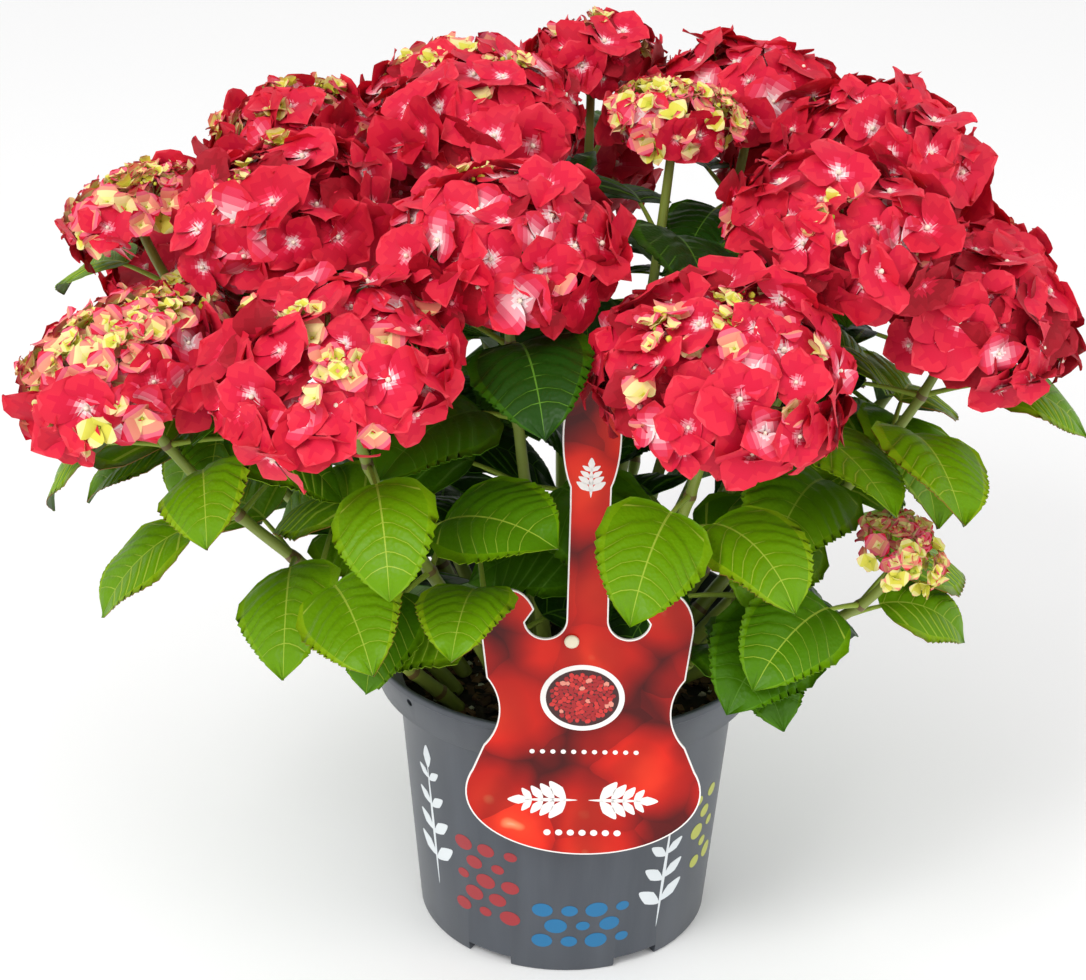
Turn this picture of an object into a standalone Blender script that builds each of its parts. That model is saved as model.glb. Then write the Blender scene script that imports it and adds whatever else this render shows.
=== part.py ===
"""A mophead hydrangea in a plastic nursery pot.

Metres, +Z up. The origin is the middle of the pot's flat underside, and the
plant's front, where its label hangs, faces -Y. Canes rise from the potting
mix, each leads into one flowering head, and a head is a twig with opposite
leaves under a domed flower cluster, fused into one body.
"""
import itertools
import math
import random

import bmesh
import bpy
from mathutils import Matrix, Vector
from mathutils.bvhtree import BVHTree

GAP = 0.0003            # clearance between pieces that touch
WELD = 0.000001         # points nearer than this are one
SCRAP_FACES = 12        # a loose shell smaller than this is a scrap
FREE_SPACE = 0.0005     # a leaf or floret keeps at least this far from other heads
HELD_STRAY = 0.0008     # points held back at a wall lie unevenly behind it
MM = 0.001

# ---- pot -----------------------------------------------------------------
RIM_RADIUS = 0.1148     # 23 cm nursery pot
POT_HEIGHT = 0.1780
LIP = 0.0012            # rounding of the rim's edge
COLLAR_RADIUS = 0.1092  # lower edge of the collar
COLLAR_BOTTOM = 0.1531
COLLAR_STEP = 0.0008    # the collar's underside slopes by this much
BODY_TOP_RADIUS = 0.0975
FOOT_RADIUS = 0.0843
FOOT_BEVEL = 0.0020
WALL = 0.0020
FLOOR = 0.0080
POT_SIDES = 40
NOTCHES = 6             # drainage notches round the bottom edge
NOTCH_WIDTH = 0.028
NOTCH_HEIGHT = 0.0062
NOTCH_REACH = 0.013     # a cutter's size along the radius
NOTCH_DEPTH = 0.009     # how far in from the foot's edge it reaches
MIX_TOP = 0.1490        # surface of the potting mix
MIX_CLEAR = 0.0005      # between the mix and the wall

# ---- label ---------------------------------------------------------------
LABEL_LEAN = math.radians(4)      # the top leans out over the rim
LABEL_CENTRE_X = 0.0090
LABEL_THICK = 0.0012
PEG_ACROSS = -0.0080              # the peg's place on the label
PEG_UP = 0.0590
PEG_RADIUS = 0.0022
PEG_HEAD_RADIUS = 0.0040
PEG_HOLE_SIDES = 10
PEG_HEAD_STEPS = (0.0, 0.0002, 0.0018)  # out from the label: shaft, shoulder, face
STAKE_FOOT_Y = -0.0840
STAKE_STRAIGHT = 0.004            # the stake leaves the mix upright for this far
STAKE_BENDS = ((0.0, 0.0090), (0.0015, 0.0115), (0.0050, 0.0130))   # drop, and depth behind

# ---- canes and heads -----------------------------------------------------
BASE_SPREAD = 0.27      # a cane's foot lies this share of its head's reach out
SHOOT_SPREAD = 0.45     # and a young shoot's foot this share
CANE_FOOT_RADIUS = 0.0050
CANE_TIP_RADIUS = 0.0034
TWIG_TIP_RADIUS = 0.0026
FOOT_LEAN = 0.14        # how far out the lower pull on a cane's curve lies
FOOT_PULL = 0.26        # and how high, as a share of the cane's rise
TIP_PULL = 0.36         # and the upper pull below the tip
BOUGH_SHARE = 0.46      # share of a cane that is bare bough below its head
FOOT_STRAIGHT = 0.006   # a cane leaves the mix upright for this far
JOINT_STRAIGHT = 0.004  # a bough is straight for this far below its head's twig
TWIG_DEEP = 0.5         # how deep a twig ends in its cluster, of its half height

# ---- flower clusters -----------------------------------------------------
HEAD_LEAN = 0.60        # reach at which a head leans out by 45 degrees
CORE = 0.75             # size of the solid heart of a cluster
CORE_CLEAR = 0.0016     # the hearts of two neighbours keep this far from their wall
FLORET_CLEAR = 0.0004   # and their florets this far
CLOSE = 0.004           # clusters nearer than this are neighbours with a wall
FLORET_LOWEST = 112     # degrees from a cluster's top down to its last florets
FLORET_SHARE = 0.345    # a floret's radius, of its cluster's
FLORET_EXTRA = 0.0015   # and added to that
FLORET_INSET = 0.002    # florets lie this far inside the cluster's outline
FLORET_CUP = 0.0012     # the corners lie this far over the floret's middle
FLORET_EYE = 0.0008
FLORET_SUNK = 0.006     # how far a floret's stalk is sunk in the heart
FLORET_TILT = 0.14
FLORET_MOVES = 0.9      # a floret held back further than this of its radius is left out
GOLDEN_ANGLE = math.radians(137.508)

# One row a head, in millimetres: across, depth, height of the middle of the
# flower cluster, its diameter, its height over its diameter, florets, then the
# leaf pairs on the twig: how many, and the azimuth in degrees of the lowest.
HEADS = (
    (-37, -85, 440, 118, 0.68, 15, 3, -40),
    (-118, -146, 400, 128, 0.58, 16, 3, -10),
    (72, -130, 392, 132, 0.70, 16, 3, 158),
    (-155, -22, 433, 114, 0.66, 15, 4, 190),
    (-232, -90, 372, 110, 0.66, 15, 3, -75),
    (-50, 42, 463, 114, 0.68, 15, 3, 40),
    (136, -48, 436, 122, 0.68, 15, 4, 28),
    (206, -30, 386, 122, 0.68, 15, 3, -60),
    (166, 60, 444, 116, 0.68, 15, 3, 15),
    (101, 120, 455, 108, 0.66, 15, 3, 70),
    (53, 48, 464, 80, 0.55, 12, 3, -10),
    (9, 168, 459, 90, 0.66, 13, 3, 95),
    (-68, 122, 450, 104, 0.66, 15, 3, 110),
    (-160, 95, 434, 100, 0.64, 14, 3, 150),
    (-240, 22, 418, 80, 0.52, 12, 3, 180),
    (-216, -14, 360, 84, 0.64, 12, 2, 160),
    (172, -98, 277, 48, 0.74, 8, 1, -140),
    (-115, 195, 380, 110, 0.68, 14, 3, 120),
    (140, 178, 388, 112, 0.68, 14, 3, 60),
    (222, 98, 362, 110, 0.68, 14, 3, 20),
    (-222, 108, 352, 104, 0.68, 14, 3, 155),
    (-8, 224, 368, 108, 0.68, 14, 3, 90),
)

# Young shoots without a flower: across, depth, height of the tip, leaf pairs,
# azimuth of the lowest pair.
SHOOTS = (
    (-136, -96, 266, 2, -160),
    (-45, -112, 256, 2, -150),
    (92, -88, 254, 2, -55),
    (-112, 96, 262, 2, 130),
    (44, 132, 258, 2, 100),
    (128, 110, 262, 2, 40),
)

# ---- leaves --------------------------------------------------------------
# Leaf pairs that show in front are placed by hand in place of the rule's, a row a
# pair: share of the twig from its foot, azimuth of the front leaf in degrees, its
# rise and droop, and its length in millimetres. The leaf opposite follows the rule.
FRONT_PAIRS = {
    "02": ((0.10, 245, 5, 75, 62), (0.30, 320, 40, 50, 80), (0.70, 280, 10, 70, 70)),
    "03": ((0.12, 205, 25, 65, 80), (0.40, 310, 30, 80, 74), (0.60, 250, 10, 60, 75)),
    "05": ((0.12, 285, 20, 70, 78), (0.40, 210, 0, 60, 68), (0.60, 278, 40, 80, 72),
           (0.80, 170, 0, 80, 62)),
    "06": ((0.06, 185, 30, 70, 80), (0.30, 280, 30, 60, 75), (0.75, 0, 20, 70, 75)),
    "08": ((0.10, 235, 30, 70, 80), (0.30, 258, 40, 80, 88), (0.60, 285, 30, 65, 85),
           (0.80, 355, 20, 70, 72)),
    "11": ((0.25, 300, 20, 70, 70), (0.50, 40, 35, 60, 72), (0.70, 110, 25, 65, 72)),
    "15": ((0.40, 250, 20, 70, 70), (0.80, 150, 15, 70, 60)),
    "16": ((0.06, 250, 40, 75, 80), (0.55, 200, 20, 70, 70)),
    "17": ((0.10, 240, 40, 70, 75), (0.45, 10, 20, 75, 62), (0.70, 230, 20, 60, 72)),
    "low_1": ((0.45, 240, 40, 75, 62), (0.90, 290, 20, 50, 75)),
    "low_2": ((0.40, 215, 40, 70, 70), (1.00, 260, 40, 75, 66)),
    "low_3": ((0.10, 298, 40, 85, 76), (0.90, 60, 25, 70, 70)),
}
LEAF_LENGTH = 0.081
LEAF_SIZES = (0.92, 1.15)
LEAF_WIDTH = 0.70       # of its length
LEAF_THICK = 0.014      # of its length
LEAF_SHOULDER = 0.80    # its half width there, of the widest
LEAF_BENDS = ((0.34, 0.35), (0.36, 0.75), (0.30, 1.0))  # shares of length and of droop
STALK_HALVES = (0.0016, 0.0017)     # half widths of a leaf's stalk, in the twig and out
STALK_KEELS = (0.0018, 0.0016)
LEAF_RISE = (12, 30)    # degrees above the level at its stalk
LEAF_DROOP = (58, 82)   # degrees that it bends down from stalk to tip
LEAF_STRAY = 0.12       # radians off its pair's bearing
LEAF_ROLL = 0.55        # radians that a leaf turns its face out from the plant
PETIOLE = 0.030
ROOT_START = 0.0002     # a stalk starts this far off its twig's axis
ROOT_FULL = 0.0012      # and is full wide here
LEAFY_TWIG = (0.06, 0.92)   # the stretch of a head's twig that bears leaves
LEAFY_SHOOT = (0.35, 1.08)  # and of a young shoot's

COLOURS = {
    "pot": ((0.055, 0.063, 0.075), 0.38),
    "mix": ((0.030, 0.020, 0.014), 0.95),
    "label": ((0.620, 0.020, 0.020), 0.35),
    "peg": ((0.700, 0.600, 0.420), 0.45),
    "cane": ((0.250, 0.300, 0.070), 0.60),
    "sepal": ((0.600, 0.020, 0.050), 0.55),
    "leaf": ((0.080, 0.190, 0.030), 0.45),
}


def start_empty():
    """Remove what the file opens with."""
    for thing in list(bpy.data.objects):
        bpy.data.objects.remove(thing, do_unlink=True)


def material(name):
    """The named finish, made once."""
    if name in bpy.data.materials:
        return bpy.data.materials[name]
    colour, roughness = COLOURS[name]
    made = bpy.data.materials.new(name)
    made.use_nodes = True
    shader = made.node_tree.nodes["Principled BSDF"]
    shader.inputs["Base Color"].default_value = (*colour, 1.0)
    shader.inputs["Roughness"].default_value = roughness
    shader.inputs["Metallic"].default_value = 0.0
    return made


def add_object(name, mesh, finish, collection):
    """An object for a mesh; without a finish the mesh keeps the ones it has."""
    made = bpy.data.objects.new(name, mesh)
    if finish:
        mesh.materials.clear()
        mesh.materials.append(material(finish))
    collection.objects.link(made)
    return made


def as_mesh(thing, weld=WELD):
    """The evaluated shape of an object, as a new mesh with doubles merged."""
    graph = bpy.context.evaluated_depsgraph_get()
    mesh = bpy.data.meshes.new_from_object(thing.evaluated_get(graph))
    body = bmesh.new()
    body.from_mesh(mesh)
    bmesh.ops.transform(body, matrix=thing.matrix_world, verts=body.verts)
    bmesh.ops.remove_doubles(body, verts=body.verts, dist=weld)
    bmesh.ops.recalc_face_normals(body, faces=body.faces)
    body.to_mesh(mesh)
    body.free()
    return mesh


def mesh_from(body, name):
    """A mesh datablock from a bmesh, which it frees."""
    mesh = bpy.data.meshes.new(name)
    bmesh.ops.recalc_face_normals(body, faces=body.faces)
    body.to_mesh(mesh)
    body.free()
    return mesh


# ---- pot, mix and label --------------------------------------------------
def turned(name, outline, finish, collection):
    """A solid turned round Z from a closed outline of (radius, height)."""
    mesh = bpy.data.meshes.new(name)
    points = [(radius, 0.0, height) for radius, height in outline]
    edges = [(i, i + 1) for i in range(len(points) - 1)]
    mesh.from_pydata(points, edges, [])
    made = add_object(name, mesh, finish, collection)
    screw = made.modifiers.new("turn", "SCREW")
    screw.steps = screw.render_steps = POT_SIDES
    screw.use_merge_vertices = True
    screw.merge_threshold = 0.00001
    return made


def body_radius(height):
    """Outer radius of the pot's tapering body."""
    return FOOT_RADIUS + (BODY_TOP_RADIUS - FOOT_RADIUS) * height / COLLAR_BOTTOM


def make_pot(collection):
    """A tapering pot with a collar, and drainage notches cut in its foot."""
    outside = [
        (RIM_RADIUS - LIP, POT_HEIGHT),
        (RIM_RADIUS, POT_HEIGHT - LIP),
        (COLLAR_RADIUS, COLLAR_BOTTOM),
        (BODY_TOP_RADIUS, COLLAR_BOTTOM - COLLAR_STEP),
        (body_radius(FOOT_BEVEL), FOOT_BEVEL),
        (FOOT_RADIUS - FOOT_BEVEL, 0.0),
        (0.0, 0.0),
    ]
    inside = [
        (0.0, FLOOR),
        (body_radius(FLOOR) - WALL, FLOOR),
        (BODY_TOP_RADIUS - WALL, COLLAR_BOTTOM + WALL),
        (COLLAR_RADIUS - WALL, COLLAR_BOTTOM + WALL),
        (RIM_RADIUS - WALL - LIP, POT_HEIGHT),
        (RIM_RADIUS - LIP, POT_HEIGHT),
    ]
    pot = turned("pot", outside + inside, "pot", collection)
    hidden = bpy.data.collections.new("notch cutters")
    bpy.context.scene.collection.children.link(hidden)
    for number in range(NOTCHES):
        angle = math.radians(360 / NOTCHES) * (number + 0.5) - math.radians(90)
        away = FOOT_RADIUS - NOTCH_DEPTH + NOTCH_REACH / 2
        body = bmesh.new()
        bmesh.ops.create_cube(body, size=1.0)
        size = Matrix.Diagonal((NOTCH_REACH, NOTCH_WIDTH, 2 * NOTCH_HEIGHT, 1))
        turn = Matrix.Rotation(angle, 4, "Z") @ Matrix.Translation((away, 0, 0))
        bmesh.ops.transform(body, matrix=turn @ size, verts=body.verts)
        cutter = add_object(f"notch_{number}", mesh_from(body, "notch"), "pot", hidden)
        cutter.hide_render = True
        cutter.display_type = "WIRE"
    cut = pot.modifiers.new("notches", "BOOLEAN")
    cut.operation = "DIFFERENCE"
    cut.operand_type = "COLLECTION"
    cut.collection = hidden
    cut.solver = "EXACT"
    return pot


def make_mix(collection):
    """The potting mix fills the body of the pot."""
    low = FLOOR + GAP
    clear = WALL + MIX_CLEAR
    outline = [
        (0.0, MIX_TOP),
        (body_radius(MIX_TOP) - clear, MIX_TOP),
        (body_radius(low) - clear, low),
        (0.0, low),
    ]
    return turned("potting_mix", outline, "mix", collection)


def label_frame():
    """Label plane: X across, Y up from the rim's edge, Z outwards."""
    contact = Vector((LABEL_CENTRE_X, -RIM_RADIUS - GAP, POT_HEIGHT))
    lean = Matrix.Rotation(math.radians(90) + LABEL_LEAN, 4, "X")
    return Matrix.Translation(contact) @ lean


def label_half_outline():
    """Right half of the label, across and up from the rim's height, in mm."""
    points = []

    def arc(centre, radii, start, end, steps):
        for step in range(steps + 1):
            turn = math.radians(start + (end - start) * step / steps)
            points.append((centre[0] + radii[0] * math.cos(turn),
                           centre[1] + radii[1] * math.sin(turn)))

    arc((0, -39), (64, 42), -90, 20, 6)       # round lower body
    arc((78, 14), (32, 34), 222, 142, 4)      # waist
    arc((41, 66), (15, 24), 0, 150, 5)        # shoulder
    arc((22, 72), (11, 12), -10, -180, 5)     # notch beside the neck
    points.append((10.5, 140))                # neck
    arc((0, 181), (15, 41), -45, 90, 6)       # rounded head
    return points


def make_label(collection):
    """A flat plastic label with a hole for the peg that carries it."""
    half = label_half_outline()
    ring = half + [(-across, up) for across, up in reversed(half[1:-1])]
    data = bpy.data.curves.new("label", "CURVE")
    data.dimensions = "2D"
    data.fill_mode = "BOTH"
    data.extrude = LABEL_THICK / 2
    outline = data.splines.new("POLY")
    outline.points.add(len(ring) - 1)
    for point, (across, up) in zip(outline.points, ring):
        point.co = (across * MM, up * MM, 0.0, 1.0)
    outline.use_cyclic_u = True
    hole = data.splines.new("POLY")
    hole.points.add(PEG_HOLE_SIDES - 1)
    for number, point in enumerate(hole.points):
        turn = math.tau * number / PEG_HOLE_SIDES
        reach = PEG_RADIUS + 1.5 * GAP
        point.co = (PEG_ACROSS + reach * math.cos(turn), PEG_UP + reach * math.sin(turn), 0, 1)
    hole.use_cyclic_u = True
    rough = bpy.data.objects.new("label outline", data)
    bpy.context.scene.collection.objects.link(rough)
    rough.matrix_world = label_frame() @ Matrix.Translation((0, 0, LABEL_THICK / 2))
    bpy.context.view_layer.update()
    mesh = as_mesh(rough)
    bpy.data.objects.remove(rough, do_unlink=True)
    return add_object("label", mesh, "label", collection)


def make_stake(collection):
    """The stake stands in the mix; its bent top is the peg through the label."""
    frame = label_frame()
    back, elbow, lower = [frame @ Vector((PEG_ACROSS, PEG_UP - drop, -behind))
                          for drop, behind in STAKE_BENDS]
    front = LABEL_THICK + GAP
    head = [frame @ Vector((PEG_ACROSS, PEG_UP, front + step)) for step in PEG_HEAD_STEPS]
    foot = Vector((back.x, STAKE_FOOT_Y, MIX_TOP + GAP))
    points = [foot, foot + Vector((0, 0, STAKE_STRAIGHT)), lower, elbow, back] + head
    radii = [PEG_RADIUS] * 6 + [PEG_HEAD_RADIUS] * 2
    return add_object("label_stake", limb_mesh(points, radii, 2), "peg", collection)


# ---- limbs ---------------------------------------------------------------
def limb_mesh(points, radii, roundness):
    """A tapering tube along points, with flat caps square to its ends."""
    data = bpy.data.curves.new("limb", "CURVE")
    data.dimensions = "3D"
    data.bevel_depth = 1.0
    data.bevel_resolution = roundness
    data.use_fill_caps = True
    spline = data.splines.new("POLY")
    spline.points.add(len(points) - 1)
    for knot, place, radius in zip(spline.points, points, radii):
        knot.co = (*place, 1.0)
        knot.radius = radius
    rough = bpy.data.objects.new("limb", data)
    bpy.context.scene.collection.objects.link(rough)
    mesh = as_mesh(rough)
    bpy.data.objects.remove(rough, do_unlink=True)
    return mesh


def bezier(knots, share):
    """A point of the cubic curve through its first and last knots."""
    a, b, c, d = knots
    rest = 1.0 - share
    return (a * rest**3 + b * 3 * rest**2 * share
            + c * 3 * rest * share**2 + d * share**3)


def head_axis(middle):
    """The way a head faces: upright in the middle, leaning out at the rim."""
    return Vector((middle.x / HEAD_LEAN, middle.y / HEAD_LEAN, 1.0)).normalized()


def cane_knots(middle, drop, spread):
    """Bezier knots of a cane, from the mix to a head or shoot tip."""
    axis = head_axis(middle)
    foot = Vector((middle.x * spread, middle.y * spread, MIX_TOP + GAP))
    rise = middle.z - foot.z
    top = middle - axis * drop
    lean = Vector((middle.x * FOOT_LEAN, middle.y * FOOT_LEAN, FOOT_PULL * rise))
    return (foot, foot + lean, top - axis * TIP_PULL * rise, top)


def split_cane(knots, steps_low, steps_high):
    """Points of the bough and of the twig, with straight ends where they meet."""
    low = [bezier(knots, BOUGH_SHARE * i / steps_low) for i in range(steps_low + 1)]
    high = [bezier(knots, BOUGH_SHARE + (1 - BOUGH_SHARE) * i / steps_high)
            for i in range(steps_high + 1)]
    low.insert(1, low[0] + Vector((0, 0, FOOT_STRAIGHT)))
    along = (high[1] - high[0]).normalized()
    low.insert(-1, low[-1] - along * JOINT_STRAIGHT)
    high[0] = high[0] + along * GAP
    return low, high


def tapers(count, first, last):
    """Radii that change evenly from the first to the last."""
    return [first + (last - first) * i / (count - 1) for i in range(count)]


# ---- pieces of a head ----------------------------------------------------
def basis(axis, spin=0.0):
    """A turn that takes +Z to the axis, spun about it."""
    return axis.to_track_quat("Z", "Y").to_matrix().to_4x4() @ Matrix.Rotation(spin, 4, "Z")


class Cluster:
    """A domed flower cluster: where it is, how wide, how flat, how many florets."""

    def __init__(self, row):
        self.middle = Vector(row[:3]) * MM
        self.half = row[3] * MM / 2
        self.flat = row[4]
        self.count = row[5]
        self.axis = head_axis(self.middle)
        self.turn = basis(self.axis)

    def spot(self, inset, polar, around):
        """A point on the dome and the way it faces there."""
        wide = (self.half - inset) * math.sin(polar)
        tall = (self.half - inset) * self.flat * math.cos(polar)
        local = Vector((wide * math.cos(around), wide * math.sin(around), tall))
        normal = Vector((local.x, local.y, local.z / self.flat**2))
        turn = self.turn.to_3x3()
        return self.middle + turn @ local, (turn @ normal).normalized()

    def support(self, way):
        """How far the cluster reaches from its middle in one direction."""
        tall = way.dot(self.axis)
        wide = math.sqrt(max(0.0, 1.0 - tall * tall))
        return self.half * math.hypot(wide, self.flat * tall)

    def core(self):
        """Its solid heart, an oblate ball."""
        body = bmesh.new()
        bmesh.ops.create_uvsphere(body, u_segments=6, v_segments=4, radius=self.half * CORE)
        squash = Matrix.Diagonal((1, 1, self.flat, 1))
        place = Matrix.Translation(self.middle) @ self.turn @ squash
        bmesh.ops.transform(body, matrix=place, verts=body.verts)
        return body


def floret_body(centre, normal, radius, depth, spin):
    """Four sepals as a four-cornered cup whose stalk is sunk in the heart."""
    body = bmesh.new()
    bmesh.ops.create_uvsphere(body, u_segments=4, v_segments=2, radius=1.0)
    for vert in body.verts:
        flat = Vector((vert.co.x, vert.co.y, 0.0))
        if flat.length > 0.5:
            vert.co = flat * radius + Vector((0, 0, FLORET_CUP))
        elif vert.co.z > 0:
            vert.co = Vector((0, 0, FLORET_EYE))
        else:
            vert.co = Vector((0, 0, -depth))
    place = Matrix.Translation(centre) @ basis(normal, spin)
    bmesh.ops.transform(body, matrix=place, verts=body.verts)
    return body


def leaf_spine(root, azimuth, rise, droop, length):
    """Midrib points: two inside the twig, stalk end, widest part, shoulder, tip."""
    along = Vector((math.cos(azimuth), math.sin(azimuth), 0.0))
    up = Vector((0, 0, 1))
    points = [root + along * ROOT_START, root + along * ROOT_FULL]
    steps = [(PETIOLE, 0.0)] + [(share * length, bend) for share, bend in LEAF_BENDS]
    for step, bend in steps:
        slope = rise - droop * bend
        points.append(points[-1] + (along * math.cos(slope) + up * math.sin(slope)) * step)
    return points


def leaf_roll(root, azimuth):
    """How far a leaf that grows sideways lowers the edge on its outer side."""
    return LEAF_ROLL * math.sin(azimuth - math.atan2(root.y, root.x))


def leaf_body(spine, azimuth, length):
    """A leaf as a ball with three meridians, its rings moved onto the midrib:
    two meridians are the edges and the third is the keel underneath."""
    level_side = Vector((-math.sin(azimuth), math.cos(azimuth), 0.0))
    roll = leaf_roll(spine[0], azimuth)
    half = LEAF_WIDTH * length / 2
    widths = (*STALK_HALVES, half, half * LEAF_SHOULDER)
    keels = (*STALK_KEELS, LEAF_THICK * length, LEAF_THICK * length)
    body = bmesh.new()
    bmesh.ops.create_uvsphere(body, u_segments=3, v_segments=5, radius=1.0)
    for vert in body.verts:
        level = round(math.acos(max(-1.0, min(1.0, vert.co.z))) / (math.pi / 5))
        if level in (0, 5):
            vert.co = spine[level]
            continue
        run = (spine[level + 1] - spine[level - 1]).normalized()
        upright = level_side.cross(-run).normalized()
        side = level_side * math.cos(roll) + upright * math.sin(roll)
        face = upright * math.cos(roll) - level_side * math.sin(roll)
        turn = math.atan2(vert.co.y, vert.co.x) % math.tau
        meridian = round(turn / (math.tau / 3)) % 3
        width, keel = widths[level - 1], keels[level - 1]
        across = (0.0, width, -width)[meridian]
        lift = (-keel, 0.0, 0.0)[meridian]
        vert.co = spine[level] + side * across + face * (lift + keel / 2)
    return body


# ---- keeping pieces apart ------------------------------------------------
class Group:
    """Everything that goes into one node: its bodies and their trees."""

    def __init__(self, name):
        self.name = name
        self.meshes = []
        self.trees = []
        self.balls = []

    def add(self, body, finish):
        self.trees.append(BVHTree.FromBMesh(body))
        self.balls.append(ball_round(body))
        mesh = mesh_from(body, finish)
        mesh.materials.append(material(finish))
        self.meshes.append(mesh)


def ball_round(body):
    """Centre and radius of a ball round a body."""
    centre = sum((vert.co for vert in body.verts), Vector()) / len(body.verts)
    return centre, max((vert.co - centre).length for vert in body.verts)


def swollen(body):
    """A tree of the body, swollen a little, for tests of clearance."""
    copy = body.copy()
    bmesh.ops.recalc_face_normals(copy, faces=copy.faces)
    copy.normal_update()
    for vert in copy.verts:
        vert.co += vert.normal * FREE_SPACE
    tree = BVHTree.FromBMesh(copy)
    copy.free()
    return tree


def touches(body, groups, own):
    """The first group that a body comes too close to, leaving out its own."""
    centre, reach = ball_round(body)
    tree = swollen(body)
    for group in groups:
        if group is own:
            continue
        for other, (middle, radius) in zip(group.trees, group.balls):
            near = (middle - centre).length < reach + radius + 2 * FREE_SPACE
            if near and tree.overlap(other):
                return group
    return None


def group_of_mesh(name, mesh):
    """A group that only stands in the way of others."""
    group = Group(name)
    body = bmesh.new()
    body.from_mesh(mesh)
    group.trees.append(BVHTree.FromBMesh(body))
    group.balls.append(ball_round(body))
    body.free()
    return group


def walls_between(clusters):
    """Planes that part each flower cluster from its close neighbours."""
    walls = {}
    for one in clusters:
        walls[one] = []
        for two in clusters:
            way = two.middle - one.middle
            apart = way.length
            if one is two:
                continue
            way = way / apart
            reach, facing = one.support(way), two.support(way)
            if reach + facing > apart - CLOSE:
                share = reach / (reach + facing)
                walls[one].append((one.middle + way * (apart * share), way))
    return walls


def held_back(body, walls, clear, dice):
    """Move points that cross a wall back behind it; tell how far they moved."""
    worst = 0.0
    for vert in body.verts:
        for point, way in walls:
            past = (vert.co - point).dot(way) + clear
            if past > 0:
                vert.co -= way * (past + dice.uniform(0, HELD_STRAY))
                worst = max(worst, past)
    return worst


# ---- heads ---------------------------------------------------------------
def add_florets(group, cluster, walls, groups, dice):
    """Florets spread evenly over the dome by the golden angle."""
    radius = cluster.half * FLORET_SHARE + FLORET_EXTRA
    depth = cluster.half * (1 - CORE) + FLORET_SUNK
    lowest = 1.0 - math.cos(math.radians(FLORET_LOWEST))
    for number in range(cluster.count):
        share = (number + 0.5) / cluster.count
        polar = math.acos(1.0 - share * lowest)
        centre, normal = cluster.spot(FLORET_INSET, polar, number * GOLDEN_ANGLE)
        tilt = Vector([dice.uniform(-FLORET_TILT, FLORET_TILT) for _ in range(3)])
        spin = dice.uniform(0, math.tau)
        body = floret_body(centre, (normal + tilt).normalized(), radius, depth, spin)
        moved = held_back(body, walls, FLORET_CLEAR, dice)
        if moved > FLORET_MOVES * radius or touches(body, groups, group):
            body.free()
            continue
        group.add(body, "sepal")


def leaf_pairs(group, stretch):
    """Place on the twig, azimuth and front leaf's shape for each pair of leaves."""
    rows = FRONT_PAIRS.get(group.name.removeprefix("head_"))
    if rows:
        return [(row[0], row[1], row[2:]) for row in rows]
    lowest, highest = stretch
    return [(lowest + (highest - lowest) * (pair + 0.5) / group.pairs,
             group.azimuth + 90 * pair, None) for pair in range(group.pairs)]


def add_leaves(group, stretch, groups, dice):
    """Opposite leaves in pairs up the twig; a leaf needs free space."""
    missed = 0
    for place, azimuth, front in leaf_pairs(group, stretch):
        root = along_line(group.twig, place)
        for side in (0, 180):
            stray = dice.uniform(-LEAF_STRAY, LEAF_STRAY)
            size = LEAF_LENGTH * dice.uniform(*LEAF_SIZES)
            rise, droop = dice.uniform(*LEAF_RISE), dice.uniform(*LEAF_DROOP)
            if front and side == 0:
                stray, size = 0.0, front[2] * MM
                rise, droop = front[:2]
            bearing = math.radians(azimuth + side) + stray
            rise, droop = math.radians(rise), math.radians(droop)
            for turn, bend, scale in leaf_tries():
                length = size * scale
                way = bearing + math.radians(turn)
                spine = leaf_spine(root, way, rise, droop + math.radians(bend), length)
                body = leaf_body(spine, way, length)
                crowded = touches(body, groups, group) or own_pieces_touch(body, group)
                if not crowded and joins(group, body):
                    group.add(body, "leaf")
                    break
                body.free()
            else:
                missed += 1
    return missed


def leaf_tries():
    """Turn, bend and size of a leaf, the plain one first."""
    for scale in (1.0, 0.86, 0.72):
        for bend in (0, 18, -25, 35):
            for turn in (0, 14, -14, 28, -28, 45, -45):
                yield turn, bend, scale


def own_pieces_touch(body, group):
    """True where a body meets its own node anywhere but at the twig."""
    centre, reach = ball_round(body)
    for tree, (middle, radius) in list(zip(group.trees, group.balls))[1:]:
        if (middle - centre).length < reach + radius and tree.overlap(BVHTree.FromBMesh(body)):
            return True
    return False


def along_line(points, share):
    """The point at a share of a line's length; past its end, its end."""
    lengths = [(b - a).length for a, b in zip(points, points[1:])]
    run = share * sum(lengths)
    for start, end, length in zip(points, points[1:], lengths):
        if run <= length:
            return start.lerp(end, run / length)
        run -= length
    return points[-1].copy()


def fuse(group, collection):
    """One Boolean union of all of a group's bodies, closed and in one piece."""
    for solver in ("EXACT", "MANIFOLD"):
        mesh = united(group.meshes, solver)
        whole, closed = largest_shell(mesh), is_closed(mesh)
        if whole and closed:
            break
        print(group.name, "is joined again, past", solver, whole, closed)
    mesh.name = group.name
    return add_object(group.name, mesh, None, collection)


def joins(group, body):
    """True where the group and one more body make one closed body."""
    mesh = united(group.meshes + [mesh_from(body.copy(), "trial")], "EXACT")
    return largest_shell(mesh) and is_closed(mesh)


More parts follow.
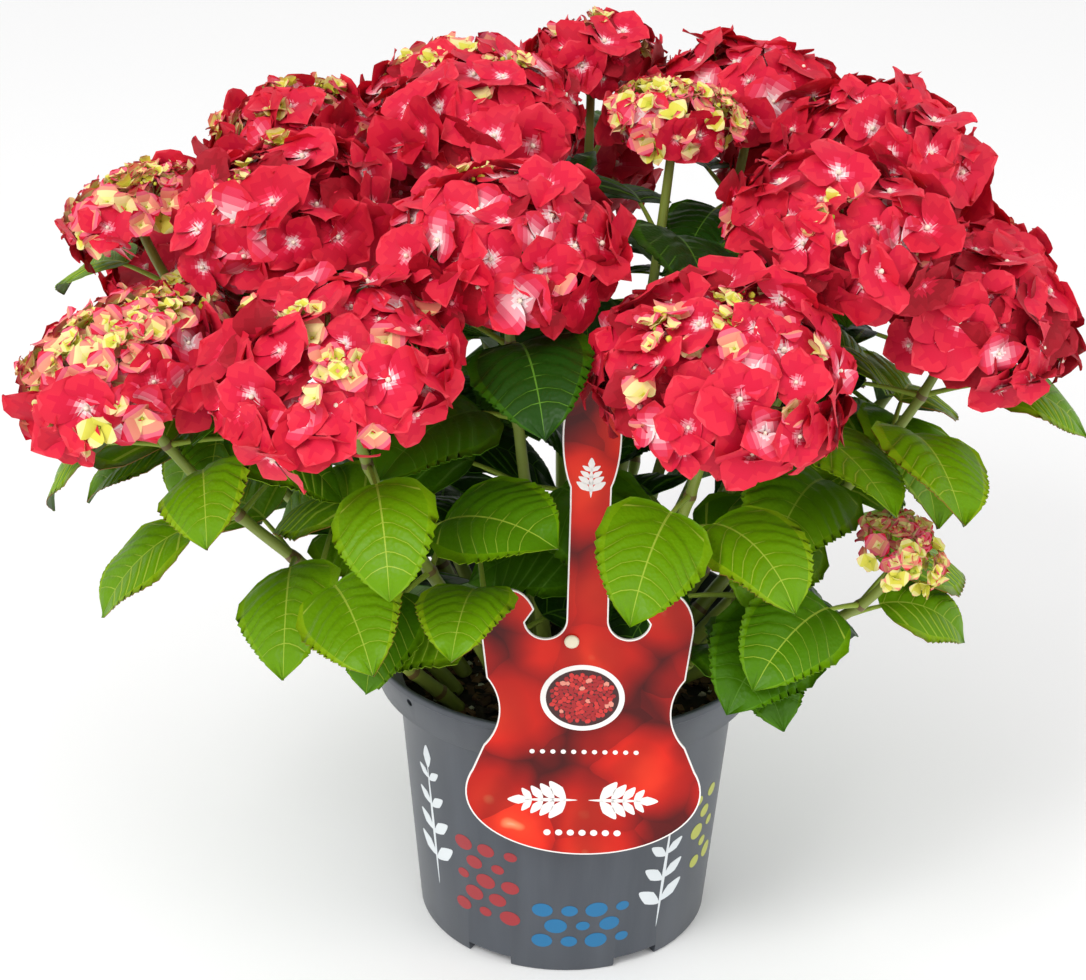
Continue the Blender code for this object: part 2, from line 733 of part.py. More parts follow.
def united(meshes, solver):
    """The meshes joined by a Boolean on a collection, which then goes."""
    operands = bpy.data.collections.new("operands")
    bpy.context.scene.collection.children.link(operands)
    for mesh in meshes[1:]:
        operands.objects.link(bpy.data.objects.new("operand", mesh))
    first = bpy.data.objects.new("first", meshes[0])
    bpy.context.scene.collection.objects.link(first)
    union = first.modifiers.new("union", "BOOLEAN")
    union.operation = "UNION"
    union.operand_type = "COLLECTION"
    union.collection = operands
    union.solver = solver
    union.material_mode = "TRANSFER"
    mesh = as_mesh(first)
    for thing in [first] + list(operands.objects):
        bpy.data.objects.remove(thing, do_unlink=True)
    bpy.data.collections.remove(operands)
    return mesh


def shells_of(body):
    """Sets of faces that hang together, the one with most faces first."""
    left = set(body.faces)
    shells = []
    while left:
        seed = left.pop()
        shell = {seed}
        front = [seed]
        while front:
            for side in front.pop().edges:
                fresh = [face for face in side.link_faces if face not in shell]
                shell.update(fresh)
                front.extend(fresh)
        left -= shell
        shells.append(shell)
    return sorted(shells, key=len, reverse=True)


def largest_shell(mesh):
    """Drop loose scraps and sealed hollows; False where a real piece was loose."""
    body = bmesh.new()
    body.from_mesh(mesh)
    bmesh.ops.triangulate(body, faces=body.faces)
    shells = shells_of(body)
    whole = all(len(shell) < SCRAP_FACES for shell in shells[1:])
    for shell in shells[1:]:
        bmesh.ops.delete(body, geom=list(shell), context="FACES")
    bmesh.ops.recalc_face_normals(body, faces=body.faces)
    body.to_mesh(mesh)
    body.free()
    return whole


def is_closed(mesh):
    """True where every edge has two faces."""
    body = bmesh.new()
    body.from_mesh(mesh)
    closed = all(len(side.link_faces) == 2 for side in body.edges)
    body.free()
    return closed


def tell_crossings(groups):
    """Name the nodes whose bodies cross; none should."""
    for one, other in itertools.combinations(groups, 2):
        if any(tree.overlap(near) for tree in one.trees for near in other.trees):
            print(one.name, "meets", other.name)


def make_stem(name, tip, drop, spread, leaf_row, groups, collection):
    """The bare bough of a cane, and the twig that its head is built on."""
    knots = cane_knots(tip, drop, spread)
    low, high = split_cane(knots, 3, 4)
    bough = limb_mesh(low, tapers(len(low), CANE_FOOT_RADIUS, CANE_TIP_RADIUS), 1)
    cane = add_object(f"cane_{name}", bough, "cane", collection)
    groups.append(group_of_mesh(cane.name, bough))
    twig = bmesh.new()
    twig.from_mesh(limb_mesh(high, tapers(len(high), CANE_TIP_RADIUS, TWIG_TIP_RADIUS), 0))
    head = Group(f"head_{name}")
    head.add(twig, "cane")
    head.twig = high
    head.pairs, head.azimuth = leaf_row
    return head


def main():
    start_empty()
    plant = bpy.data.collections.new("potted hydrangea")
    bpy.context.scene.collection.children.link(plant)
    fixed = [make_pot(plant), make_mix(plant), make_label(plant), make_stake(plant)]
    bpy.context.view_layer.update()
    groups = [group_of_mesh(thing.name, as_mesh(thing)) for thing in fixed]

    clusters = [Cluster(row) for row in HEADS]
    heads = []
    for number, (cluster, row) in enumerate(zip(clusters, HEADS)):
        drop = TWIG_DEEP * cluster.half * cluster.flat
        heads.append(make_stem(f"{number + 1:02d}", cluster.middle, drop, BASE_SPREAD,
                               row[6:], groups, plant))
    shoots = [make_stem(f"low_{number + 1}", Vector(row[:3]) * MM, 0.0, SHOOT_SPREAD,
                        row[3:], groups, plant) for number, row in enumerate(SHOOTS)]
    everything = groups + heads + shoots
    tell_crossings(everything)

    walls = walls_between(clusters)
    for number, (cluster, head) in enumerate(zip(clusters, heads)):
        core = cluster.core()
        held_back(core, walls[cluster], CORE_CLEAR, random.Random(number))
        head.add(core, "sepal")
    tell_crossings(everything)
    for number, (cluster, head) in enumerate(zip(clusters, heads)):
        add_florets(head, cluster, walls[cluster], everything, random.Random(100 + number))
    stems = list(enumerate(heads + shoots))
    stems.sort(key=lambda stem: stem[1].name.removeprefix("head_") not in FRONT_PAIRS)
    for number, head in stems:
        stretch = LEAFY_TWIG if head in heads else LEAFY_SHOOT
        missed = add_leaves(head, stretch, everything, random.Random(500 + number))
        if missed:
            print(head.name, "has no room for", missed, "leaves")
    for head in heads + shoots:
        fuse(head, plant)


main()
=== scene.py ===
# %% [markdown]
# # A mophead hydrangea in its nursery pot
#
# The plant has already been built as plain solids, one node for each cane, head
# and made part. This lesson dresses those solids: it grows real florets, leaves and
# stems where the plain ones stand, and gives the pot, the label and the potting mix
# their finish. Everything is in metres, +Z is up, and the label faces -Y.

# %% Load the frame
import math
import random
from itertools import product

import bpy
import numpy as np
from mathutils import Matrix, Vector, noise
from mathutils.kdtree import KDTree


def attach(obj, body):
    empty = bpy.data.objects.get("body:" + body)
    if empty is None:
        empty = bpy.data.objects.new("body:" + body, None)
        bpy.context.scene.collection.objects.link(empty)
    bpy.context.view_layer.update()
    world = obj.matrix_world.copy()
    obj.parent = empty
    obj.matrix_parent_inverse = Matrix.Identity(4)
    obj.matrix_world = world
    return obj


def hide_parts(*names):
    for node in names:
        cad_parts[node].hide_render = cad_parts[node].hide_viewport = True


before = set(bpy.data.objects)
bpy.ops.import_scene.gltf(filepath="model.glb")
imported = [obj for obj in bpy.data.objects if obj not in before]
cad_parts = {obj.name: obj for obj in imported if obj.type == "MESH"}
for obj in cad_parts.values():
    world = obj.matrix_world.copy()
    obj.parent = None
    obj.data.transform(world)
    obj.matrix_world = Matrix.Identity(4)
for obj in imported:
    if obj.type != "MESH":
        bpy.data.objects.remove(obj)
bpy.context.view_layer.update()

MM = 0.001
print("frame:", len(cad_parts), "nodes")

# %% [markdown]
# ## The camera
#
# A product picture is taken from a little above with a long lens, so the rim of the
# pot opens as an ellipse and the near heads don't grow too large. The lens is given
# for a picture 36 mm wide. A slight roll of the camera tilts the picture by a degree.

# %% Camera
CAMERA_PLACE = (-0.0154, -1.389, 0.940)
LOOK_DOWN = math.radians(25.88)
ROLL = math.radians(0.93)
PICTURE_WIDTH, FOCAL_LENGTH = 36.0, 91.40       # in millimetres


def new_object(name, data):
    """An object with the data of a camera, a lamp or a mesh, linked to the scene."""
    made = bpy.data.objects.new(name, data)
    bpy.context.scene.collection.objects.link(made)
    return made


lens = bpy.data.cameras.new("camera")
lens.sensor_fit = "HORIZONTAL"
lens.sensor_width = PICTURE_WIDTH
lens.lens = FOCAL_LENGTH
camera = new_object("camera", lens)
aim = Matrix.Rotation(math.radians(90) - LOOK_DOWN, 4, "X") @ Matrix.Rotation(ROLL, 4, "Z")
camera.matrix_world = Matrix.Translation(CAMERA_PLACE) @ aim
bpy.context.scene.camera = camera
print("camera at", CAMERA_PLACE)

# %% [markdown]
# ## Colours and materials
#
# Colours are written as the sRGB hex values that a paint chip or a screen shows, and
# one function turns them to the linear values a shader works with. Another adds a
# node, with its settings and links, so that each material reads as a short recipe.
# Leaves and petals get plain colours, one material for each zone of a petal or leaf,
# because thousands of small copies in one mesh have no room for a painted pattern.

# %% Helpers for colours and nodes
def linear(hexa):
    """An sRGB hex colour as linear red, green, blue and alpha."""
    parts = [int(hexa[i:i + 2], 16) / 255 for i in (1, 3, 5)]
    return [p / 12.92 if p <= 0.04045 else ((p + 0.055) / 1.055)**2.4 for p in parts] + [1.0]


def add_node(tree, kind, settings=None, **links):
    """Add a node. Settings are its own or its sockets' values, links feed its sockets."""
    made = tree.nodes.new(kind)
    for key, value in (settings or {}).items():
        if key in made.inputs:
            made.inputs[key].default_value = value
        else:
            setattr(made, key, value)
    for key, source in links.items():
        tree.links.new(source, made.inputs[key.replace("_", " ")])
    return made


def plain(name, colour, roughness, **sockets):
    """A material of one colour; further sockets are named in words."""
    made = bpy.data.materials.new(name)
    made.use_nodes = True
    shader = made.node_tree.nodes["Principled BSDF"]
    shader.inputs["Base Color"].default_value = linear(colour)
    shader.inputs["Roughness"].default_value = roughness
    for key, value in sockets.items():
        shader.inputs[key.replace("_", " ")].default_value = value
    return made


def shader_of(made):
    """A material's node tree and its shader."""
    return made.node_tree, made.node_tree.nodes["Principled BSDF"]


def ramp_of(tree, source, stops):
    """A colour ramp from places and hex colours."""
    made = add_node(tree, "ShaderNodeValToRGB", None, Fac=source)
    stones = made.color_ramp.elements
    while len(stones) < len(stops):
        stones.new(1.0)
    for stone, (place, colour) in zip(stones, stops):
        stone.position = place
        stone.color = linear(colour)
    return made.outputs["Color"]


def finishes_of(colours, finish):
    """The number of each named colour, and a finish for each."""
    slots = {name: number for number, name in enumerate(colours)}
    return slots, [finish(name, colour) for name, colour in colours.items()]


def relief(made, pattern, size, strength):
    """Fine relief on a material: a noise or cell pattern, its size in metres."""
    tree, shader = shader_of(made)
    place = add_node(tree, "ShaderNodeTexCoord").outputs["Object"]
    grain = add_node(tree, pattern, {"Scale": 1.0 / size}, Vector=place)
    value = grain.outputs["Distance" if "Voronoi" in pattern else "Fac"]
    bump = add_node(tree, "ShaderNodeBump", {"Strength": strength, "Distance": 0.2 * size},
                    Height=value)
    tree.links.new(bump.outputs["Normal"], shader.inputs["Normal"])
    return made


print("helpers ready")

# %% [markdown]
# ## Sepals
#
# What look like petals on a hydrangea are sepals: thin, soft and slightly velvety
# leaves, so they scatter a little light under the surface and have a faint sheen.
# The red of one sepal deepens towards the eye, pales at the rim, and the eye itself
# is white or cream. Older florets are crimson, young ones cream and lime. Florets that
# lie deep in a head or low on its side are dealt the darkest reds more often: painted shade.

# %% Sepal finishes
SEPAL_GRAIN = 1.4 * MM          # folds of the skin, drawn as coarse as they need to show


def sepal_finish(name, colour):
    """Soft skin, nearly matt, with a faint sheen."""
    made = plain(name, colour, 0.55, Sheen_Weight=0.03, Sheen_Roughness=0.4,
                 Specular_IOR_Level=0.16)
    return relief(made, "ShaderNodeTexNoise", SEPAL_GRAIN, 0.25)


SEPAL_COLOURS = {
    "sepal_bead_cream": "#f1e6d0",
    "sepal_eye_white": "#f8dfe0",
    "sepal_eye_pink": "#f0a0aa",
    "sepal_eye_blush": "#e3647a",
    "sepal_ray_pink": "#da3554",
    "sepal_rose_inner": "#d0173a",
    "sepal_rose_body": "#d8253d",
    "sepal_rose_rim": "#e13c4c",
    "sepal_red_inner": "#c00d2e",
    "sepal_red_body": "#ca1931",
    "sepal_red_rim": "#d62c3f",
    "sepal_deep_inner": "#96071c",
    "sepal_deep_body": "#a20e22",
    "sepal_deep_rim": "#b21e30",
    "sepal_cream": "#f0dc9c",
    "sepal_peach": "#e8917a",
    "sepal_lime": "#d9d352",
    "sepal_pale_lime": "#e6df8c",
    "bud_lime": "#c9cb45",
    "bud_green": "#a3b034",
}
SEPAL_SLOT, sepal_finishes = finishes_of(SEPAL_COLOURS, sepal_finish)
print(len(sepal_finishes), "sepal finishes")

# %% [markdown]
# ## Leaves and stems
#
# A hydrangea leaf is leathery and glossy, with sunken yellow-green veins and a paler
# dull underside. Light and shade are painted into the leaves: those far out get brighter,
# yellower greens, those inside and under the heads darker ones, and a lighter strip runs
# along each margin as a painted highlight. The oldest have a brown edge. The stems are
# green with brown rings where leaves sit.

# %% Leaf and stem finishes
LEAF_GRAIN = 2.4 * MM           # the net of the finest veins


def leaf_finish(name, colour):
    """Leathery skin with a low gloss."""
    made = plain(name, colour, 0.40, Specular_IOR_Level=0.14)
    return relief(made, "ShaderNodeTexVoronoi", LEAF_GRAIN, 0.45)


def stem_finish(name, colour):
    """Smooth bark of a young stem."""
    return plain(name, colour, 0.45)


LEAF_COLOURS = {
    "leaf_deep": "#1f420a",
    "leaf_deep_light": "#2f5a06",
    "leaf_green": "#3f6d05",
    "leaf_green_light": "#4c7c05",
    "leaf_bright": "#629004",
    "leaf_bright_light": "#709a08",
    "leaf_lime": "#7fa30e",
    "leaf_vein": "#9bb53a",
    "leaf_vein_dull": "#578327",
    "leaf_under": "#6d8957",
    "leaf_under_vein": "#94aa78",
    "leaf_edge_brown": "#8f6028",
    "petiole_green": "#8fa53d",
}
LEAF_SLOT, leaf_finishes = finishes_of(LEAF_COLOURS, leaf_finish)

STEM_COLOURS = {
    "stem_green": "#84933a",
    "stem_node_brown": "#6f5a30",
    "stalk_olive": "#9c9548",
    "stalk_pink": "#b8806a",
}
STEM_SLOT, stem_finishes = finishes_of(STEM_COLOURS, stem_finish)
print(len(leaf_finishes), "leaf finishes,", len(stem_finishes), "stem finishes")

# %% [markdown]
# ## The plant's own rule
#
# Each flower head is a dome on the end of a cane. The same few numbers that place
# the plain solids are used again here, so the finished florets and leaves grow from
# the same stems and reach just as far. A row says where the middle of a dome is,
# how wide it is and how flat, which leaf pairs its cane bears, and how young it is:
# in a young head the florets in the middle are still half open and cream.

# %% Rows for the heads and shoots
BASE_SPREAD = 0.27              # a cane's foot stands this share of its head's way out
SHOOT_SPREAD = 0.45
BOUGH_SHARE = 0.46              # share of a cane that is bare
HEAD_LEAN = 0.60                # metres out at which a head leans by 45 degrees
FOOT_LEAN, FOOT_PULL, TIP_PULL = 0.14, 0.26, 0.36       # how a cane curves
TWIG_DEEP = 0.5                 # a twig ends this share of a dome's height under its middle
GAP = 0.0003                    # air between two solids that meet
MIX_TOP = 0.1490
CLOSE = 0.004                   # domes nearer than this are parted by a wall
GOLDEN_ANGLE = math.radians(137.508)

# across, depth, height of the dome's middle and its width in millimetres, height
# over width, leaf pairs, azimuth of the lowest pair in degrees, share of young florets
HEADS = (
    (-37, -85, 440, 118, 0.68, 3, -40, 0.10),
    (-118, -146, 400, 128, 0.58, 3, -10, 0.22),
    (72, -130, 392, 132, 0.70, 3, 158, 0.25),
    (-155, -22, 433, 114, 0.66, 4, 190, 0.12),
    (-232, -90, 372, 110, 0.66, 3, -75, 0.75),
    (-50, 42, 463, 114, 0.68, 3, 40, 0.08),
    (136, -48, 436, 122, 0.68, 4, 28, 0.10),
    (206, -30, 386, 122, 0.68, 3, -60, 0.02),
    (166, 60, 444, 116, 0.68, 3, 15, 0.02),
    (101, 120, 455, 108, 0.66, 3, 70, 0.02),
    (53, 48, 464, 80, 0.55, 3, -10, 0.90),
    (9, 168, 459, 90, 0.66, 3, 95, 0.12),
    (-68, 122, 450, 104, 0.66, 3, 110, 0.45),
    (-160, 95, 434, 100, 0.64, 3, 150, 0.45),
    (-240, 22, 418, 80, 0.52, 3, 180, 0.90),
    (-216, -14, 360, 84, 0.64, 2, 160, 0.30),
    (172, -98, 277, 48, 0.74, 1, -140, 1.00),
    (-115, 195, 380, 110, 0.68, 3, 120, 0.10),
    (140, 178, 388, 112, 0.68, 3, 60, 0.05),
    (222, 98, 362, 110, 0.68, 3, 20, 0.15),
    (-222, 108, 352, 104, 0.68, 3, 155, 0.25),
    (-8, 224, 368, 108, 0.68, 3, 90, 0.08),
)

# across, depth, height of the tip in millimetres, leaf pairs, azimuth of the lowest
SHOOTS = (
    (-136, -96, 266, 2, -160),
    (-45, -112, 256, 2, -150),
    (92, -88, 254, 2, -55),
    (-112, 96, 262, 2, 130),
    (44, 132, 258, 2, 100),
    (128, 110, 262, 2, 40),
)
print(len(HEADS), "heads and", len(SHOOTS), "shoots")

# %% Domes and canes
def heading(bearing, slope=0.0):
    """The way with a bearing and a slope, both in radians."""
    along = Vector((math.cos(bearing), math.sin(bearing), 0.0))
    return along * math.cos(slope) + Vector((0, 0, math.sin(slope)))


def head_axis(middle):
    """The way a head faces: upright in the middle, leaning out at the rim."""
    return Vector((middle.x / HEAD_LEAN, middle.y / HEAD_LEAN, 1.0)).normalized()


def basis(axis, spin=0.0):
    """A turn that takes +Z to the axis, spun about it."""
    return axis.to_track_quat("Z", "Y").to_matrix() @ Matrix.Rotation(spin, 3, "Z")


class Dome:
    """A domed flower head: its middle, half its width, its flatness and its youth."""

    def __init__(self, row):
        self.middle = Vector(row[:3]) * MM
        self.half = row[3] * MM / 2
        self.flat = row[4]
        self.young = row[7]
        self.axis = head_axis(self.middle)
        self.turn = basis(self.axis)
        self.walls = []

    def spot(self, inset, polar, around):
        """A point on the dome and the way it faces there."""
        wide = (self.half - inset) * math.sin(polar)
        tall = (self.half - inset) * self.flat * math.cos(polar)
        local = Vector((wide * math.cos(around), wide * math.sin(around), tall))
        normal = Vector((local.x, local.y, local.z / self.flat**2))
        return self.middle + self.turn @ local, (self.turn @ normal).normalized()

    def support(self, way):
        """How far the dome reaches from its middle in one direction."""
        tall = way.dot(self.axis)
        wide = math.sqrt(max(0.0, 1.0 - tall * tall))
        return self.half * math.hypot(wide, self.flat * tall)

    def past_wall(self, point):
        """How far a point lies past the nearest wall to a neighbour."""
        return max([(point - place).dot(way) for place, way in self.walls], default=-1.0)


def add_walls(domes):
    """Part each dome from its close neighbours by a plane between the two."""
    for one in domes:
        for two in domes:
            if one is two:
                continue
            way = two.middle - one.middle
            apart = way.length
            way = way / apart
            reach, facing = one.support(way), two.support(way)
            if reach + facing > apart - CLOSE:
                one.walls.append((one.middle + way * apart * reach / (reach + facing), way))


def bezier(knots, share):
    """The point at a share (0 to 1) of a Bezier curve."""
    a, b, c, d = knots
    rest = 1.0 - share
    return a * rest**3 + b * 3 * rest**2 * share + c * 3 * rest * share**2 + d * share**3


def cane_knots(middle, drop, spread):
    """Bezier knots of a cane, from the potting mix to a head or shoot tip."""
    axis = head_axis(middle)
    foot = Vector((middle.x * spread, middle.y * spread, MIX_TOP + GAP))
    rise = middle.z - foot.z
    top = middle - axis * drop
    lean = Vector((middle.x * FOOT_LEAN, middle.y * FOOT_LEAN, FOOT_PULL * rise))
    return (foot, foot + lean, top - axis * TIP_PULL * rise, top)


domes = [Dome(row) for row in HEADS]
add_walls(domes)
print(sum(len(dome.walls) for dome in domes), "walls between domes")

# %% [markdown]
# ## Leaves in front
#
# Leaves sit in opposite pairs, each pair turned a quarter from the one below. Where
# they show in front, pairs are listed one by one instead, so the shape that the plant
# turns to the viewer is its own.

# %% Pairs listed one by one
# Share of the twig from its foot, azimuth of the front leaf in degrees, its rise and
# droop, and its length in millimetres. The leaf opposite follows the rule.
FRONT_PAIRS = {
    "02": ((0.10, 245, 5, 75, 62), (0.30, 320, 40, 50, 80), (0.70, 280, 10, 70, 70)),
    "03": ((0.12, 205, 25, 65, 80), (0.40, 310, 30, 80, 74), (0.60, 250, 10, 60, 75)),
    "05": ((0.12, 285, 20, 70, 78), (0.40, 210, 0, 60, 68), (0.60, 278, 40, 80, 72),
           (0.80, 170, 0, 80, 62)),
    "06": ((0.06, 185, 30, 70, 80), (0.30, 280, 30, 60, 75), (0.75, 0, 20, 70, 75)),
    "08": ((0.10, 235, 30, 70, 80), (0.30, 258, 40, 80, 88), (0.60, 285, 30, 65, 85),
           (0.80, 355, 20, 70, 72)),
    "11": ((0.25, 300, 20, 70, 70), (0.50, 40, 35, 60, 72), (0.70, 110, 25, 65, 72)),
    "15": ((0.40, 250, 20, 70, 70), (0.80, 150, 15, 70, 60)),
    "16": ((0.06, 250, 40, 75, 80), (0.55, 200, 20, 70, 70)),
    "17": ((0.10, 240, 40, 70, 75), (0.45, 10, 20, 75, 62), (0.70, 230, 20, 60, 72)),
    "low_1": ((0.45, 240, 40, 75, 62), (0.90, 290, 20, 50, 75)),
    "low_2": ((0.40, 215, 40, 70, 70), (1.00, 260, 40, 75, 66)),
    "low_3": ((0.10, 298, 40, 85, 76), (0.90, 60, 25, 70, 70)),
}
print(sum(len(rows) for rows in FRONT_PAIRS.values()), "pairs placed by hand")

# %% [markdown]
# ## Finding the leaves
#
# A leaf of the plain solids may have been turned or made shorter to clear its
# neighbours. The rule below goes through the same tries with the same dice, and
# looks in the loaded node for the tip of the leaf that was built, so each finished
# leaf takes the place of a plain one.

# %% Leaves as the rule places them
LEAF_LENGTH = 0.081
LEAF_SIZES = (0.92, 1.15)
LEAF_RISE = (12, 30)            # degrees, as the droop is
LEAF_DROOP = (58, 82)
LEAF_STRAY = 0.12               # radians, as the roll is
LEAF_ROLL = 0.55
PETIOLE = 0.030
ROOT_FULL = 0.0012
PLAIN_BENDS = ((0.34, 0.35), (0.36, 0.75), (0.30, 1.0))     # shares of length and droop
TRY_SIZES = (1.0, 0.86, 0.72)   # the plain try comes first, in size, bend and turn
TRY_BENDS = (0, 18, -25, 35)
TRY_TURNS = (0, 14, -14, 28, -28, 45, -45)
TIP_NEAR = 0.00005
TWIG_STEPS = 4
LEAFY_TWIG = (0.06, 0.92)       # shares of a twig between which its leaves grow
LEAFY_SHOOT = (0.35, 1.08)


class Leaf:
    """Where a leaf grows: its root, bearing, rise and droop in radians, and length."""

    def __init__(self, root, way, rise, droop, length):
        self.root, self.way, self.rise = root, way, rise
        self.droop, self.length = droop, length

    def tip(self):
        """The tip of the plain leaf, which bends in three places."""
        point = self.root + heading(self.way) * ROOT_FULL
        steps = [(part * self.length, bend) for part, bend in PLAIN_BENDS]
        for step, bend in [(PETIOLE, 0.0)] + steps:
            point = point + heading(self.way, self.rise - self.droop * bend) * step
        return point


def points_of(node):
    """A search tree of a loaded node's points."""
    mesh = node.data
    tree = KDTree(len(mesh.vertices))
    for number, vert in enumerate(mesh.vertices):
        tree.insert(node.matrix_world @ vert.co, number)
    tree.balance()
    return tree


def along_line(points, share):
    """The point at a share of a line's length; past its end, its end."""
    lengths = [(b - a).length for a, b in zip(points, points[1:])]
    run = share * sum(lengths)
    for start, end, length in zip(points, points[1:], lengths):
        if run <= length:
            return start.lerp(end, run / length)
        run -= length
    return points[-1].copy()


class Cane:
    """A cane from the mix to its head, with the leaves that its twig bears."""

    def __init__(self, name, tip, drop, spread, pairs, azimuth, stretch, seed):
        self.name = name
        self.knots = cane_knots(tip, drop, spread)
        steps = [BOUGH_SHARE + (1 - BOUGH_SHARE) * i / TWIG_STEPS for i in range(TWIG_STEPS + 1)]
        line = [bezier(self.knots, step) for step in steps]
        line[0] = line[0] + (line[1] - line[0]).normalized() * GAP
        tree = points_of(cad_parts[f"head_{name}"])
        dice = random.Random(seed)
        self.roots, self.leaves = [], []
        rows = [(share, front, shape) for share, front, *shape in FRONT_PAIRS.get(name, ())]
        if not rows:
            for pair in range(pairs):
                share = stretch[0] + (stretch[1] - stretch[0]) * (pair + 0.5) / pairs
                rows.append((share, azimuth + 90 * pair, None))
        for share, bearing, shape in rows:
            self.roots.append(along_line(line, share))
            for side in (0, 180):
                self.find_leaf(tree, bearing + side, shape if side == 0 else None, dice)

    def find_leaf(self, tree, azimuth, shape, dice):
        """Keep the try whose tip is a point of the plain solid."""
        stray = dice.uniform(-LEAF_STRAY, LEAF_STRAY)
        size = LEAF_LENGTH * dice.uniform(*LEAF_SIZES)
        rise, droop = dice.uniform(*LEAF_RISE), dice.uniform(*LEAF_DROOP)
        if shape:
            stray, size = 0.0, shape[2] * MM
            rise, droop = shape[:2]
        bearing = math.radians(azimuth) + stray
        for scale, bend, turn in product(TRY_SIZES, TRY_BENDS, TRY_TURNS):
            leaf = Leaf(self.roots[-1], bearing + math.radians(turn), math.radians(rise),
                        math.radians(droop + bend), size * scale)
            if tree.find(leaf.tip())[2] < TIP_NEAR:
                self.leaves.append(leaf)
                return


canes = []
for number, (dome, row) in enumerate(zip(domes, HEADS)):
    drop = TWIG_DEEP * dome.half * dome.flat
    canes.append(Cane(f"{number + 1:02d}", dome.middle, drop, BASE_SPREAD, row[5], row[6],
                      LEAFY_TWIG, 500 + number))
for number, row in enumerate(SHOOTS):
    canes.append(Cane(f"low_{number + 1}", Vector(row[:3]) * MM, 0.0, SHOOT_SPREAD,
                      row[3], row[4], LEAFY_SHOOT, 500 + len(HEADS) + number))
print(sum(len(cane.leaves) for cane in canes), "leaves found on", len(canes), "canes")

# %% [markdown]
# ## Gathering many small shapes
#
# Thousands of petals would be slow as objects. Each kind is modelled a few times,
# its points are kept as an array, and copies of that array are turned, scaled and
# gathered in a heap, which becomes one mesh at the end. All faces are quads, and a
# number for each face says which finish it takes.

# %% The heap
class Heap:
    """Copies of small shapes, gathered to become one mesh."""

    def __init__(self):
        self.points, self.quads, self.slots = [], [], []
        self.total = 0

    def add(self, points, quads, slots):
        self.points.append(points)
        self.quads.append(quads + self.total)
        self.slots.append(np.broadcast_to(slots, len(quads)))
        self.total += len(points)

    def piece(self, name, finishes):
        """One smooth object of everything in the heap."""
        points, quads = np.concatenate(self.points), np.concatenate(self.quads)
        mesh = bpy.data.meshes.new(name)
        mesh.vertices.add(len(points))
        mesh.vertices.foreach_set("co", points.astype(np.float32).ravel())
        mesh.loops.add(quads.size)
        mesh.loops.foreach_set("vertex_index", quads.astype(np.int32).ravel())
        mesh.polygons.add(len(quads))
        mesh.polygons.foreach_set("loop_start", np.arange(0, quads.size, 4, dtype=np.int32))
        slots = np.concatenate(self.slots)
        used = np.unique(slots)
        for number in used:
            mesh.materials.append(finishes[number])
        mesh.polygons.foreach_set("material_index", np.searchsorted(used, slots).astype(np.int32))
        mesh.update(calc_edges=True)
        mesh.shade_smooth()
        print(name, 2 * len(quads), "triangles")
        return new_object(name, mesh)


def placed(points, turn, place, scale=1.0):
    """Points of a shape, scaled, turned and moved."""
    return (points * scale) @ np.array(turn).T + np.array(place)


def grid_quads(columns, rows):
    """Quads of a grid of points that are numbered row by row."""
    start = (np.arange(rows)[:, None] * (columns + 1) + np.arange(columns)).ravel()
    return np.stack([start, start + 1, start + columns + 2, start + columns + 1], axis=1)


# %% [markdown]
# ## Tubes
#
# A stem is a ring of points carried along a line without twisting, with a radius
# for each ring, and both ends closed. Rings can swell, which makes the joints of a
# cane, and a little ripple round the ring gives the ridges of its skin.

# %% A tube along a line
def tube(line, radii, sides, ripple=0.0):
    """Points and quads of a closed tube; sides is even, ripple a share of the radius."""
    line = np.array(line, dtype=float)
    ways = np.gradient(line, axis=0)
    ways /= np.linalg.norm(ways, axis=1)[:, None]
    side = np.cross(ways[0], (0.0, 0.0, 1.0) if abs(ways[0][2]) < 0.9 else (1.0, 0.0, 0.0))
    angles = np.arange(sides) * (2 * math.pi / sides)
    ridges = 1.0 + ripple * np.cos(angles * sides / 2)
    rings = []
    for place, way, radius in zip(line, ways, radii):
        side = side - way * side.dot(way)
        side /= np.linalg.norm(side)
        other = np.cross(way, side)
        round_ring = np.cos(angles)[:, None] * side + np.sin(angles)[:, None] * other
        rings.append(place + radius * ridges[:, None] * round_ring)
    start = np.arange(len(line) - 1)[:, None] * sides
    here, after = np.arange(sides), np.roll(np.arange(sides), -1)
    walls = np.stack([start + here, start + after, start + sides + after, start + sides + here],
                     axis=2).reshape(-1, 4)
    fan = np.array([(0, i + 2, i + 1, i) for i in range(1, sides - 2, 2)])
    lid = fan[:, ::-1] + (len(line) - 1) * sides
    return np.concatenate(rings), np.concatenate([walls, fan, lid])


def curve(knots, count):
    """Points of a Bezier curve, evenly stepped."""
    return [bezier(knots, i / (count - 1)) for i in range(count)]


print("shape helpers ready")

# %% [markdown]
# ## One sepal, then one floret
#
# A sepal is broad, widest before its middle, and ends in a point. It rises from
# the eye, flattens and curls down again, and its edges wave. Four of them overlap
# like the sails of a windmill: each is turned a little about its own length, so
# one edge lies over its neighbour and the other under. A few florets are modelled
# with different dice, and each is copied many times. An open floret has rays round
# its eye, and in a young one the colour changes evenly from the eye to the tip.

# %% The sepal and its zones
SEPAL_ALONG = (0.0, 0.06, 0.13, 0.22, 0.36, 0.56, 0.78, 0.93, 1.0)
SEPAL_ACROSS = (-1.0, -0.55, -0.13, 0.13, 0.55, 1.0)
SMALL_ALONG, SMALL_ACROSS = (0.0, 0.2, 0.5, 0.8, 1.0), (-1.0, 0.0, 1.0)
SEPAL_WIDEST = 0.466            # largest value of the outline's formula
ZONE_LETTERS = "oelyibm"        # bead, eye, blush, ray, inner, body and rim


def select_only(*pieces):
    """Deselect everything, then select the pieces and make the first one active."""
    bpy.ops.object.select_all(action="DESELECT")
    for piece in pieces:
        piece.select_set(True)
    if pieces:
        bpy.context.view_layer.objects.active = pieces[0]


